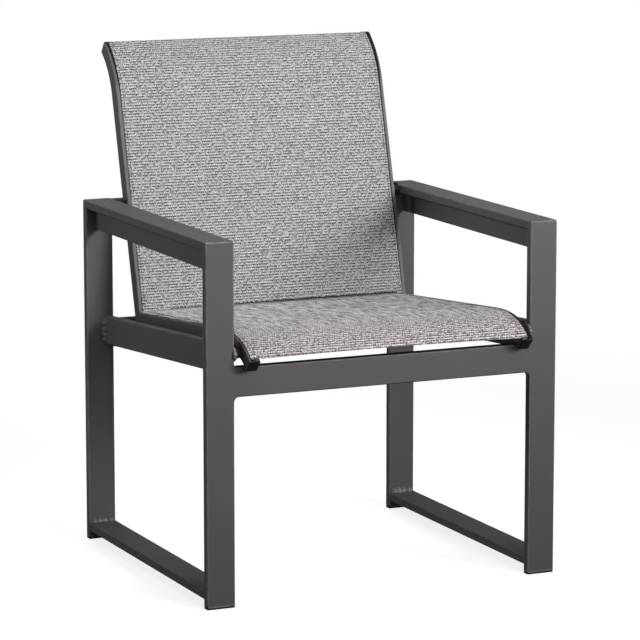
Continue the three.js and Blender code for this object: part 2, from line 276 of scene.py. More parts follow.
def straight_tube(
    section: Section, start: Points, end: Points, u_axis: Points, v_axis: Points,
    stations: int = 9,
) -> Patch:
    """Carries a section in a straight line from start to end.

    Args:
        section: An outline and its rim.
        start: The first station's origin.
        end: The last station's origin.
        u_axis: The direction of u.
        v_axis: The direction of v.
        stations: How many times the section is set down.

    Returns:
        The patch.
    """
    outline, rim = section
    origins = start + np.linspace(0, 1, stations)[:, None] * (np.asarray(end) - start)
    return closed_tube(carry(outline, origins, np.asarray(u_axis), np.asarray(v_axis)), rim)


def turned(profile: Points, centre: Points, steps: int = 40) -> Patch:
    """Turns a profile about an axis along X.

    Point (i, j) is the centre plus profile point i's distance along X, and its radius at angle j.

    Args:
        profile: Rows of (distance along X, radius).
        centre: A point on the axis.
        steps: Points round the axis.

    Returns:
        The patch, with its ends closed.
    """
    angle = np.linspace(0, 2 * np.pi, steps, endpoint=False)
    ring = np.stack([np.zeros(steps), np.cos(angle), np.sin(angle)], axis=-1)
    points = profile[:, None, 1:] * ring + profile[:, None, :1] * [1, 0, 0]
    return closed_tube(points + centre)


def add_object(name: str, data: bpy.types.ID) -> Object:
    """Puts an object into the scene.

    Args:
        name: Its name.
        data: Its mesh, lamp or camera.

    Returns:
        The object.
    """
    made = bpy.data.objects.new(name, data)
    bpy.context.scene.collection.objects.link(made)
    return made


class Workbench:
    """Makes the pieces and keeps count of them."""

    def __init__(self) -> None:
        """Starts with nothing made."""
        self.made: list[Object] = []

    def make(
        self,
        name: str,
        patches: list[Patch],
        finish: Material,
        slot: Slot,
        stands_for: tuple[str, ...] = (),
        closed: bool = True,
        sharp_angle: float = 40.0,
    ) -> Object:
        """Makes one piece from its patches and hangs it on the chair.

        Args:
            name: The piece's name.
            patches: What its mesh is made of.
            finish: Its material.
            slot: The record's slot for this finish; not used.
            stands_for: The nodes of the part that it replaces.
            closed: Whether its patches are closed bodies, whose faces are then turned outwards.
            sharp_angle: Degrees past which an edge is shaded sharp.

        Returns:
            The piece's object.
        """
        starts = np.cumsum([0] + [len(patch.points) for patch in patches])
        points = np.concatenate([patch.points for patch in patches])
        faces = [
            [index + start for index in face]
            for patch, start in zip(patches, starts.tolist())
            for face in patch.faces
        ]
        mesh = bpy.data.meshes.new(name)
        mesh.from_pydata(points.tolist(), [], faces)
        self._write_layers(mesh, patches)
        if closed:
            shell = bmesh.new()
            shell.from_mesh(mesh)
            bmesh.ops.recalc_face_normals(shell, faces=shell.faces)
            shell.to_mesh(mesh)
            shell.free()
        mesh.shade_smooth()
        mesh.set_sharp_from_angle(angle=math.radians(sharp_angle))
        mesh.materials.append(finish)
        piece = add_object(name, mesh)
        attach(piece, "root")
        if stands_for:
            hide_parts(*stands_for)
        self.made.append(piece)
        log.info("%s: %d faces", name, len(mesh.polygons))
        return piece

    @staticmethod
    def _write_layers(mesh: Mesh, patches: list[Patch]) -> None:
        """Writes the edge shares and the cloth's coordinates into the mesh.

        Args:
            mesh: The mesh, its faces made.
            patches: The patches that it was made from.
        """
        rim = np.concatenate([
            np.zeros(len(patch.points)) if patch.rim is None else patch.rim for patch in patches
        ])
        layer = mesh.attributes.new("rim", "FLOAT", "POINT")
        layer.data.foreach_set("value", rim.astype(np.float32))
        if patches[0].uv is None:
            return
        uv = np.concatenate([patch.uv for patch in patches])
        loops = np.empty(len(mesh.loops), dtype=np.int32)
        mesh.loops.foreach_get("vertex_index", loops)
        mesh.uv_layers.new(name="UVMap").data.foreach_set("uv", uv[loops].astype(np.float32).ravel())


class Wiring:
    """Lays nodes in a material or a node group."""

    def __init__(self, tree: NodeTree) -> None:
        """Clears the tree that it will fill."""
        self.tree = tree
        tree.nodes.clear()

    def node(self, kind: str, inputs: dict | None = None, **settings: object) -> bpy.types.Node:
        """Adds a node.

        Args:
            kind: Its type, without the leading ShaderNode.
            inputs: What each input, by name or number, is set to or linked from.
            settings: Its other properties.

        Returns:
            The node.
        """
        made = self.tree.nodes.new(kind if kind.startswith("NodeGroup") else f"ShaderNode{kind}")
        for key, value in settings.items():
            setattr(made, key, value)
        for key, value in (inputs or {}).items():
            if isinstance(value, Socket):
                self.tree.links.new(value, made.inputs[key])
            else:
                made.inputs[key].default_value = value
        return made

    def math(self, operation: str, *values: object) -> Socket:
        """Adds a Math node for its numbers or the sockets that feed it."""
        return self.node("Math", dict(enumerate(values)), operation=operation).outputs[0]

    def times(self, first: object, second: object) -> Socket:
        """Multiplies two values."""
        return self.math("MULTIPLY", first, second)

    def plus(self, first: object, second: object) -> Socket:
        """Adds two values."""
        return self.math("ADD", first, second)

    def minus(self, first: object, second: object) -> Socket:
        """Takes the second value from the first."""
        return self.math("SUBTRACT", first, second)

    def over(self, first: object, second: object) -> Socket:
        """Divides the first value by the second."""
        return self.math("DIVIDE", first, second)

    def mix(self, share: object, low: object, high: object) -> Socket:
        """Blends two colours: the first at a share of 0, the second at 1."""
        return self.node("Mix", {0: share, 6: low, 7: high}, data_type="RGBA").outputs[2]

    def mix_value(self, share: object, low: object, high: object) -> Socket:
        """Mixes two values: the first at a share of 0, the second at 1."""
        return self.plus(low, self.times(share, self.minus(high, low)))

    def blend(
        self, value: object, low: float, high: float, out_low: float = 0.0, out_high: float = 1.0
    ) -> Socket:
        """Carries a value's range from low to high smoothly over to that from out_low to out_high."""
        ranges = {"From Min": low, "From Max": high, "To Min": out_low, "To Max": out_high}
        return self.node("MapRange", {"Value": value, **ranges}, interpolation_type="SMOOTHSTEP").outputs[0]

    def noise(self, vector: object, scale: float, detail: float) -> Socket:
        """Adds a soft random field, its scale in lumps to the metre."""
        return self.node("TexNoise", {"Vector": vector, "Scale": scale, "Detail": detail}).outputs[0]

    def parts(self, vector: object) -> Sockets:
        """Splits a vector into X, Y and Z."""
        return self.node("SeparateXYZ", {0: vector}).outputs

    def group(self, tree: NodeTree, inputs: dict) -> Sockets:
        """Places a node group, and gives its outputs."""
        return self.node("Group", inputs, node_tree=tree).outputs

    def bump(self, height: object, strength: float, distance: float) -> Socket:
        """Turns a height into a normal."""
        return self.node("Bump", {"Height": height, "Strength": strength, "Distance": distance}).outputs[0]

    def principled(self, inputs: dict[str, object]) -> Socket:
        """Adds the main shader of a material."""
        return self.node("BsdfPrincipled", inputs).outputs[0]

    def glow(self, strength: float) -> Socket:
        """Adds a white glow."""
        return self.node("Emission", {"Color": WHITE, "Strength": strength}).outputs[0]


class GroupWiring(Wiring):
    """Lays nodes in a new node group, whose sockets are numbers except for Vector."""

    def __init__(self, name: str, inputs: tuple[str, ...], outputs: tuple[str, ...]) -> None:
        """Makes the group and its input node.

        Args:
            name: Its name.
            inputs: Its inputs' names.
            outputs: Its outputs' names.
        """
        tree = bpy.data.node_groups.new(name, "ShaderNodeTree")
        for in_out, labels in (("INPUT", inputs), ("OUTPUT", outputs)):
            for label in labels:
                kind = "Vector" if label == "Vector" else "Float"
                tree.interface.new_socket(label, in_out=in_out, socket_type=f"NodeSocket{kind}")
        super().__init__(tree)
        self.given = self.node("NodeGroupInput").outputs

    def give(self, outputs: dict[str, Socket]) -> NodeTree:
        """Links the group's outputs, and hands over the group."""
        self.node("NodeGroupOutput", outputs)
        return self.tree


def lay_material(name: str, lay: Callable[[Wiring], Socket]) -> Material:
    """Makes a material.

    Args:
        name: Its name.
        lay: Lays its nodes and gives its shader.

    Returns:
        The material.
    """
    material = bpy.data.materials.new(name)
    material.use_nodes = True
    wiring = Wiring(material.node_tree)
    wiring.node("OutputMaterial", {"Surface": lay(wiring)})
    return material


def shade(value: float) -> float:
    """Turns a shade from 0 to 255, as seen on a screen, into a share of light."""
    seen = value / 255
    return seen / 12.92 if seen <= 0.04045 else ((seen + 0.055) / 1.055) ** 2.4


def colour(red: float, green: float, blue: float) -> Colour:
    """Turns a screen colour, 0 to 255, into the colour of a socket."""
    return (shade(red), shade(green), shade(blue), 1.0)


@dataclass(frozen=True)
class YarnRows:
    """Weave of thick yarns in rows across the cloth.

    Rows go by pairs. Where a pair's yarn floats, in dashes of a random length, its first row is
    dark and its second pale, both made up of one dot a stitch. The grain is a random shade a
    stitch, the slub a random shade a short length of warp yarn. The height is the rows' round
    backs with a bead at each dot. An edge is the stretch over which a yarn ends, counted in cells
    from the cell's middle. The grain's and the warp's widths are counted in dots, and the slub's
    length and its shift in dashes and in slubs.
    """

    row_edge: Range = (0.43, 0.5)
    dot_edge: Range = (0.27, 0.46)
    pair_stride: float = 7.31
    float_range: Range = (0.46, 0.51)
    spot_range: Range = (0.0, 0.5)
    least_spot: float = 0.55
    unfloated: float = 0.2
    grain_width: float = 0.5
    grain_row: float = 0.37
    warp_width: float = 0.62
    warp_row: float = 0.5
    slub_length: float = 4.0
    slub_shift: float = 8.0
    slub_range: Range = (0.3, 0.7)
    bead: float = 0.6
    tone_scale: float = 26.0

    def group(self) -> NodeTree:
        """Builds the node group.

        Returns:
            The group.
        """
        wiring = GroupWiring(
            "yarn_rows", ("Vector", "Row Pitch", "Dot Pitch", "Dash Length", "Rest"),
            ("Dark", "Pale", "Grain", "Slub", "Height", "Tone"),
        )
        given = wiring.given
        across, along, _ = wiring.parts(given["Vector"])
        dot_pitch, dash_length = given["Dot Pitch"], given["Dash Length"]
        row, from_row = self._cell(wiring, wiring.over(along, given["Row Pitch"]))
        pair = self._count(wiring, row, 2.0)
        odd = wiring.math("FLOORED_MODULO", row, 2.0)
        even = wiring.minus(1.0, odd)
        shift = wiring.times(wiring.math("FLOORED_MODULO", pair, 2.0), 0.5)
        dot, from_dot = self._cell(wiring, wiring.plus(wiring.over(across, dot_pitch), shift))
        line = wiring.blend(from_row, *self.row_edge, 1.0, 0.0)
        dotted = wiring.mix_value(wiring.blend(from_dot, *self.dot_edge), 1.0, given["Rest"])
        spot = wiring.times(line, dotted)
        reading = wiring.node("CombineXYZ", {
            0: wiring.over(across, dash_length), 1: wiring.times(pair, self.pair_stride),
        }).outputs[0]
        floats = wiring.blend(wiring.noise(reading, 1.0, 1.0), *self.float_range)
        uneven = wiring.blend(self._chance(wiring, dot, row), *self.spot_range, self.least_spot, 1.0)
        shown = wiring.times(spot, uneven)
        beside = wiring.plus(wiring.times(floats, 1 - self.unfloated), self.unfloated)
        stitch = self._count(wiring, across, wiring.times(dot_pitch, self.grain_width))
        warp = self._count(wiring, across, wiring.times(dot_pitch, self.warp_width))
        start = wiring.times(self._chance(wiring, warp, self.warp_row), self.slub_shift)
        length = wiring.over(along, wiring.times(dash_length, self.slub_length))
        turn = wiring.math("FLOOR", wiring.plus(length, start))
        backs = wiring.minus(1.0, wiring.math("POWER", wiring.times(from_row, 2.0), 2.0))
        return wiring.give({
            "Dark": wiring.times(wiring.times(shown, even), floats),
            "Pale": wiring.times(wiring.times(shown, odd), beside),
            "Grain": self._chance(wiring, stitch, wiring.plus(row, self.grain_row)),
            "Slub": wiring.blend(self._chance(wiring, warp, turn), *self.slub_range),
            "Height": wiring.plus(backs, wiring.times(spot, self.bead)),
            "Tone": wiring.noise(given["Vector"], self.tone_scale, 3.0),
        })

    @staticmethod
    def _count(wiring: Wiring, value: object, size: object) -> Socket:
        """The number of the cell of a size that a value lies in."""
        return wiring.math("FLOOR", wiring.over(value, size))

    @staticmethod
    def _cell(wiring: Wiring, value: Socket) -> tuple[Socket, Socket]:
        """The number of the cell of 1 that a value lies in, and the distance from its middle."""
        number = wiring.math("FLOOR", value)
        return number, wiring.math("ABSOLUTE", wiring.minus(wiring.minus(value, number), 0.5))

    @staticmethod
    def _chance(wiring: Wiring, column: object, row: object) -> Socket:
        """A random number from 0 to 1 for each cell of a grid."""
        cell = wiring.node("CombineXYZ", {0: column, 1: row}).outputs[0]
        return wiring.node("TexWhiteNoise", {"Vector": cell}, noise_dimensions="2D").outputs["Value"]


@dataclass(frozen=True)
class Effects:
    """Node groups that several finishes share, each built once.

    Scales are in lumps to the metre. A range is the stretch of a noise over which its mask goes
    from least to full, and a slope the same stretch of the normal's Z.
    """

    peel_scale: float = 620.0
    fine_scale: float = 2400.0
    fine_share: float = 0.35
    tone_scale: float = 7.0
    tone_range: Range = (0.3, 0.7)
    # The upward tint: a warmer colour in patches on faces that look up.
    dust_scale: float = 30.0
    dust_range: Range = (0.4, 0.75)
    dust_least: float = 0.2
    dust_slope: Range = (0.5, 1.0)
    # The rims' mask for wear and a painted highlight, broken up by noise.
    rub_scale: float = 55.0
    rub_range: Range = (0.35, 0.7)
    rub_least: float = 0.35
    under_slope: Range = (-0.45, 0.0)

    @cached_property
    def coat_skin(self) -> NodeTree:
        """Skin of a baked coat: fine orange peel in its height, and a faint change of tone.

        Returns:
            The group.
        """
        wiring = GroupWiring("coat_skin", ("Vector", "Peel"), ("Height", "Tone"))
        place = wiring.given["Vector"]
        fine = wiring.times(wiring.noise(place, self.fine_scale, 0.0), self.fine_share)
        peel = wiring.plus(wiring.noise(place, self.peel_scale, 1.0), fine)
        return wiring.give({
            "Height": wiring.times(peel, wiring.given["Peel"]),
            "Tone": wiring.blend(wiring.noise(place, self.tone_scale, 3.0), *self.tone_range),
        })

    @cached_property
    def marks_and_painted_light(self) -> NodeTree:
        """Masks: a tint on faces that look up, wear and painted highlight on rims, painted shade below.

        Returns:
            The group.
        """
        wiring = GroupWiring("marks_and_painted_light", ("Vector", "Rim"), ("Dust", "Rub", "Under"))
        place, rim = wiring.given["Vector"], wiring.given["Rim"]
        up = wiring.parts(wiring.node("NewGeometry").outputs["Normal"])[2]
        patches = wiring.noise(place, self.dust_scale, 4.0)
        broken = wiring.noise(place, self.rub_scale, 3.0)
        under = wiring.blend(up, *self.under_slope, 1.0, 0.0)
        return wiring.give({
            "Dust": wiring.times(
                wiring.blend(up, *self.dust_slope),
                wiring.blend(patches, *self.dust_range, self.dust_least, 1.0),
            ),
            "Rub": wiring.times(
                wiring.times(rim, wiring.minus(1.0, under)),
                wiring.blend(broken, *self.rub_range, self.rub_least, 1.0),
            ),
            # Painted shade: a mask for the rims that look down.
            "Under": wiring.times(rim, under),
        })

    @cached_property
    def weave(self) -> NodeTree:
        """The slings' yarn rows."""
        return YarnRows().group()


@dataclass(frozen=True)
class Finish:
    """A finish, which builds its material once from its own values.

    A finish's relief is the strength and the depth in metres of its bump.
    """

    name: str
    effects: Effects

    def material(self) -> Material:
        """Builds the material."""
        return lay_material(self.name, self.surface)

    def surface(self, wiring: Wiring) -> Socket:
        """Lays the finish's own nodes, and gives its shader."""
        raise NotImplementedError

    @staticmethod
    def place(wiring: Wiring) -> Socket:
        """Object coordinates."""
        return wiring.node("TexCoord").outputs["Object"]

    def marks(self, wiring: Wiring, place: Socket) -> Sockets:
        """Masks at a place, by their names: tint, wear with painted highlight, painted shade."""
        rim = wiring.node("Attribute", attribute_name="rim").outputs["Fac"]
        return wiring.group(self.effects.marks_and_painted_light, {"Vector": place, "Rim": rim})


@dataclass(frozen=True)
class BakedCoat(Finish):
    """Baked powder coat on metal."""

    base: Colour = colour(90, 88, 92)
    warm: Colour = colour(93, 90, 92)
    # Lighter colour on rims: wear, and a painted highlight where edges catch the light.
    rubbed_and_highlit: Colour = colour(136, 134, 136)
    # Warmer colour laid in patches on faces that look up.
    dust: Colour = colour(92, 84, 85)
    # Near black on rims that look down: painted shade where no light comes from below.
    painted_under_shade: Colour = colour(18, 16, 18)
    roughness: float = 0.42
    rougher: float = 0.06
    gloss: float = 0.04
    peel: float = 1.0
    rub_share: float = 0.5
    dust_share: float = 0.55
    relief: Range = (0.12, 0.0002)

    def surface(self, wiring: Wiring) -> Socket:
        """Satin coat: orange peel, upward tint, wear and painted highlight on rims, painted shade below.

        Args:
            wiring: The material's nodes.

        Returns:
            The shader.
        """
        place = self.place(wiring)
        skin = wiring.group(self.effects.coat_skin, {"Vector": place, "Peel": self.peel})
        marks = self.marks(wiring, place)
        tone = wiring.mix(skin["Tone"], self.base, self.warm)
        # Rims lightened for wear and as a painted highlight.
        rubbed_and_highlit = wiring.mix(wiring.times(marks["Rub"], self.rub_share), tone, self.rubbed_and_highlit)
        # Painted shade on the rims that look down.
        under_shaded = wiring.mix(marks["Under"], rubbed_and_highlit, self.painted_under_shade)
        return wiring.principled({
            "Base Color": wiring.mix(wiring.times(marks["Dust"], self.dust_share), under_shaded, self.dust),
            "Roughness": wiring.plus(self.roughness, wiring.times(skin["Tone"], self.rougher)),
            "Normal": wiring.bump(skin["Height"], *self.relief),
            "Specular IOR Level": self.gloss,
        })


@dataclass(frozen=True)
class MouldedPlastic(Finish):
    """Moulded plastic with a fine spark-eroded grain."""

    base: Colour = colour(17, 16, 18)
    # Greyer colour on the rims: wear, and a painted highlight on the plugs' rounded edges.
    scuffed_and_highlit: Colour = colour(60, 58, 60)
    scuff_and_highlight_share: float = 0.6
    grain_scale: float = 1800.0
    roughness: float = 0.5
    rougher: float = 0.1
    gloss: float = 0.08
    relief: Range = (0.2, 0.0001)

    def surface(self, wiring: Wiring) -> Socket:
        """Black plastic, a little greyer on its rims from wear and a painted highlight.

        Args:
            wiring: The material's nodes.

        Returns:
            The shader.
        """
        place = self.place(wiring)
        grain = wiring.noise(place, self.grain_scale, 2.0)
        rub_and_highlight = self.marks(wiring, place)["Rub"]
        return wiring.principled({
            "Base Color": wiring.mix(wiring.times(rub_and_highlight, self.scuff_and_highlight_share), self.base, self.scuffed_and_highlit),
            "Roughness": wiring.plus(self.roughness, wiring.times(grain, self.rougher)),
            "Normal": wiring.bump(grain, *self.relief),
            "Specular IOR Level": self.gloss,
        })


@dataclass(frozen=True)
class PlatedSteel(Finish):
    """Zinc-plated steel with a fine grain."""

    base: Colour = colour(168, 166, 160)
    dull: Colour = colour(120, 118, 112)
    patch_scale: float = 260.0
    patch_range: Range = (0.35, 0.65)
    mark_scale: float = 5200.0
    roughness: float = 0.3
    rougher: float = 0.2
    relief: Range = (0.15, 0.0001)

    def surface(self, wiring: Wiring) -> Socket:
        """Bright steel, duller in patches.

        Args:
            wiring: The material's nodes.

        Returns:
            The shader.
        """
        place = self.place(wiring)
        patches = wiring.blend(wiring.noise(place, self.patch_scale, 4.0), *self.patch_range)
        return wiring.principled({
            "Base Color": wiring.mix(patches, self.base, self.dull),
            "Roughness": wiring.plus(self.roughness, wiring.times(patches, self.rougher)),
            "Normal": wiring.bump(wiring.noise(place, self.mark_scale, 1.0), *self.relief),
            "Metallic": 1.0,
        })


@dataclass(frozen=True)
class WovenSling(Finish):
    """Coated yarns woven into an open, tweedy cloth.

    Pitches and the dash's length are in metres, and slub_end is the stretch of the cloth, along
    its length, over which its slubs give way to its rows.
    """

    ground: Colour = colour(129, 127, 132)
    warm: Colour = colour(135, 129, 130)
    pale: Colour = colour(193, 191, 193)
    dark: Colour = colour(6, 5, 7)
    row_pitch: float = 0.00255
    dot_pitch: float = 0.0042
    dash_length: float = 0.0054
    rest: float = 0.0
    dash: float = 1.0
    grain: float = 0.48
    slub: float = 0.0
    slub_end: Range = (2.0, 3.0)
    row_start: Range = (-0.05, 0.01)
    tone_range: Range = (0.35, 0.65)
    light_range: Range = (0.5, 0.75)
    lightest: float = 0.85
    deep_range: Range = (0.25, 0.5)
    height_range: Range = (0.0, 1.6)
    roughness: Range = (0.8, 0.6)
    sheen: Range = (0.15, 0.5)
    relief: Range = (0.6, 0.0004)

    def surface(self, wiring: Wiring) -> Socket:
        """Rows of yarn, dark and pale by turns, on a speckled ground.

        Args:
            wiring: The material's nodes.

        Returns:
            The shader.
        """
        uv = wiring.node("UVMap", uv_map="UVMap").outputs[0]
        weave = wiring.group(self.effects.weave, {
            "Vector": uv, "Row Pitch": self.row_pitch, "Dot Pitch": self.dot_pitch,
            "Dash Length": self.dash_length, "Rest": self.rest,
        })
        along = wiring.parts(uv)[1]
        slub = wiring.times(wiring.blend(along, *self.slub_end, 1.0, 0.0), self.slub)
        shown = wiring.mix(wiring.blend(weave["Tone"], *self.tone_range), self.ground, self.warm)
        shown = self._speckle(wiring, shown, weave["Grain"], self.grain)
        shown = self._speckle(wiring, shown, weave["Slub"], slub)
        rows = wiring.blend(along, *(self.slub_end[0] + past for past in self.row_start), self.dash, 1.0)
        shown = wiring.mix(wiring.times(weave["Pale"], rows), shown, self.pale)
        return wiring.principled({
            "Base Color": wiring.mix(wiring.times(weave["Dark"], rows), shown, self.dark),
            "Roughness": wiring.blend(weave["Height"], *self.height_range, *self.roughness),
            "Normal": wiring.bump(weave["Height"], *self.relief),
            "Sheen Weight": self.sheen[0],
            "Sheen Roughness": self.sheen[1],
        })

    def _speckle(self, wiring: Wiring, shown: Socket, chance: Socket, strength: object) -> Socket:
        """Makes each cell of a random field lighter or darker.

        Args:
            wiring: The material's nodes.
            shown: The colour.
            chance: The field, 0 to 1.
            strength: How far the lightest and the darkest cells go.

        Returns:
            The speckled colour.
        """
        light = wiring.times(wiring.blend(chance, *self.light_range, 0.0, self.lightest), strength)
        deep = wiring.times(wiring.blend(chance, *self.deep_range, 1.0, 0.0), strength)
        return wiring.mix(deep, wiring.mix(light, shown, self.pale), self.dark)


@dataclass(frozen=True)
class SewingThread(Finish):
    """Thick twisted thread."""

    base: Colour = colour(42, 40, 42)
    twist: Colour = colour(20, 19, 20)
    twist_scale: float = 420.0
    roughness: float = 0.75
    relief: Range = (0.3, 0.0001)

    def surface(self, wiring: Wiring) -> Socket:
        """Thread with the bands of its twist.

        Args:
            wiring: The material's nodes.

        Returns:
            The shader.
        """
        bands = wiring.node(
            "TexWave", {"Vector": self.place(wiring), "Scale": self.twist_scale},
            bands_direction="DIAGONAL",
        ).outputs[1]
        return wiring.principled({
            "Base Color": wiring.mix(bands, self.base, self.twist),
            "Roughness": self.roughness,
            "Normal": wiring.bump(bands, *self.relief),
        })


class Finishes:
    """Every finish of the chair, as materials."""

    def __init__(self) -> None:
        """Builds the materials."""
        effects = Effects()
        self.frame = BakedCoat("frame_coat", effects).material()
        self.rail = BakedCoat(
            "rail_coat", effects, base=colour(84, 82, 85), warm=colour(80, 78, 81), roughness=0.36,
            gloss=0.14, peel=0.5, dust_share=0.05,
        ).material()
        # A lighter copy of the frame coat for the welds: a painted highlight where the beads catch the
        # light.
        self.weld = BakedCoat(
            "weld_coat_painted_highlight", effects, base=colour(104, 102, 104), warm=colour(96, 93, 95),
            rubbed_and_highlit=colour(138, 136, 138), roughness=0.34, gloss=0.4, peel=0.5, rub_share=0.7,
            dust_share=0.0,
        ).material()
        # A darker copy of the frame coat for the bosses: painted shade in the gaps between the frame and
        # the rails.
        self.boss = BakedCoat(
            "boss_coat_painted_shade", effects, base=colour(54, 52, 55), warm=colour(50, 48, 50), peel=0.5,
            dust_share=0.0,
        ).material()
        self.plastic = MouldedPlastic("moulded_plastic", effects).material()
        self.steel = PlatedSteel("plated_steel", effects).material()
        self.back_cloth = WovenSling("woven_back", effects).material()
        self.seat_cloth = WovenSling(
            "woven_seat", effects, ground=colour(130, 124, 126), warm=colour(135, 125, 126),
            pale=colour(236, 229, 231), dash=0.75, slub=0.78, slub_end=(0.39, 0.45), rest=0.05,
            dash_length=0.0062, row_pitch=0.0028, grain=0.55,
        ).material()
        self.thread = SewingThread("sewing_thread", effects).material()


@dataclass(frozen=True)
class RailPath:
    """Upper edge of a rail in Y and Z: a straight run from the seat's corner, then a curl.

    Its points lie close together, with its heading at each. Its depth side is 1 where the rail's
    depth lies to its left as one goes along, and -1 where it lies to its right.
    """

    points: Points
    headings: Points
    depth_side: float

    @cached_property
    def distances(self) -> Points:
        """How far along the path each point is."""
        steps = np.linalg.norm(np.diff(self.points, axis=0), axis=1)
        return np.concatenate([[0.0], np.cumsum(steps)])

    @property
    def length(self) -> float:
        """The path's length."""
        return float(self.distances[-1])

    def at(self, distance: Points) -> tuple[Points, Points, Points]:
        """Reads the path at distances from the corner, by straight lines between its points.

        Past either end it runs straight on.

        Args:
            distance: The distances.

        Returns:
            The places, headings and depth directions there, each with an X of 0.
        """
        distance = np.atleast_1d(distance)
        within = np.clip(distance, 0.0, self.length)

        def read(values: Points) -> Points:
            """One pair of columns at the distances, as (0, Y, Z)."""
            columns = [np.interp(within, self.distances, values[:, i]) for i in (0, 1)]
            return np.stack([np.zeros(len(distance)), *columns], axis=-1)

        heading = unit(read(self.headings))
        depth = np.stack([heading[:, 0], -heading[:, 2], heading[:, 1]], axis=-1) * self.depth_side
        return read(self.points) + heading * (distance - within)[:, None], heading, depth


@dataclass(frozen=True)
class SlingProfile:
    """The seat's and the back's paths, as in the part's source."""

    rear_mount_clearance: float = 0.028
    corner_height: float = 0.4288
    curl_start: Range = (0.110, 0.4587)
    entry_handle: float = 0.040
    tip: Range = (-0.037, 0.424)
    tip_angle: float = math.radians(45)
    exit_handle: float = 0.060
    back_length: float = 0.398
    back_lean: float = math.radians(15.3)
    back_radius: float = 0.157
    back_curl: float = math.radians(39.7)
    chamber_depth: float = 0.0179
    steps: int = 600

    @property
    def corner(self) -> Points:
        """The corner between seat and back.

        Returns:
            How far it lies behind the front legs' front faces, and its Z.
        """
        height = SIZES.arm_height - SIZES.tube_depth / 2 - self.corner_height
        offset = height * math.tan(self.back_lean) + self.chamber_depth / math.cos(self.back_lean)
        setback = SIZES.frame_depth - SIZES.tube_depth - self.rear_mount_clearance - offset
        return np.array([setback, self.corner_height])

    def seat(self) -> RailPath:
        """The seat's path: a line, then a cubic curve with its handles along the two headings.

        Returns:
            The path.
        """
        corner, start, tip = self.corner, np.array(self.curl_start), np.array(self.tip)
        onward = unit(start - corner)
        down = np.array([-math.cos(self.tip_angle), -math.sin(self.tip_angle)])
        handles = np.stack([start, start + onward * self.entry_handle, tip - down * self.exit_handle, tip])
        t = np.linspace(0, 1, self.steps)[:, None]
        weights = np.hstack([(1 - t) ** 3, 3 * t * (1 - t) ** 2, 3 * t**2 * (1 - t), t**3])
        slopes = np.hstack([-3 * (1 - t) ** 2, 3 * (1 - t) * (1 - 3 * t), 3 * t * (2 - 3 * t), 3 * t**2])
        line = corner + np.linspace(0, 1, self.steps)[:-1, None] * (start - corner)
        return self._from_front(
            np.vstack([line, weights @ handles]),
            np.vstack([np.tile(onward, (len(line), 1)), unit(slopes @ handles)]),
            1.0,
        )

    def back(self) -> RailPath:
        """The back's path: a line at its lean, then an arc that leans further back.

        Returns:
            The path.
        """
        heading = np.array([math.sin(self.back_lean), math.cos(self.back_lean)])
        line = self.corner + np.linspace(0, self.back_length, self.steps)[:-1, None] * heading
        turn = self.back_lean + np.linspace(0, self.back_curl, self.steps)[:, None]
        centre = self.corner + self.back_length * heading
        centre = centre + self.back_radius * np.array([heading[1], -heading[0]])
        arc = centre + self.back_radius * np.hstack([-np.cos(turn), np.sin(turn)])
        return self._from_front(
            np.vstack([line, arc]),
            np.vstack([np.tile(heading, (len(line), 1)), np.hstack([np.sin(turn), np.cos(turn)])]),
            -1.0,
        )

    @staticmethod
    def _from_front(points: Points, headings: Points, depth_side: float) -> RailPath:
        """Makes the path, moved from the front legs' front faces to the chair's own Y."""
        return RailPath(points + [SIZES.front, 0], headings, depth_side)


PROFILE = SlingProfile()
SEAT_PATH = PROFILE.seat()
BACK_PATH = PROFILE.back()

X_AXIS, Y_AXIS, Z_AXIS = np.eye(3)


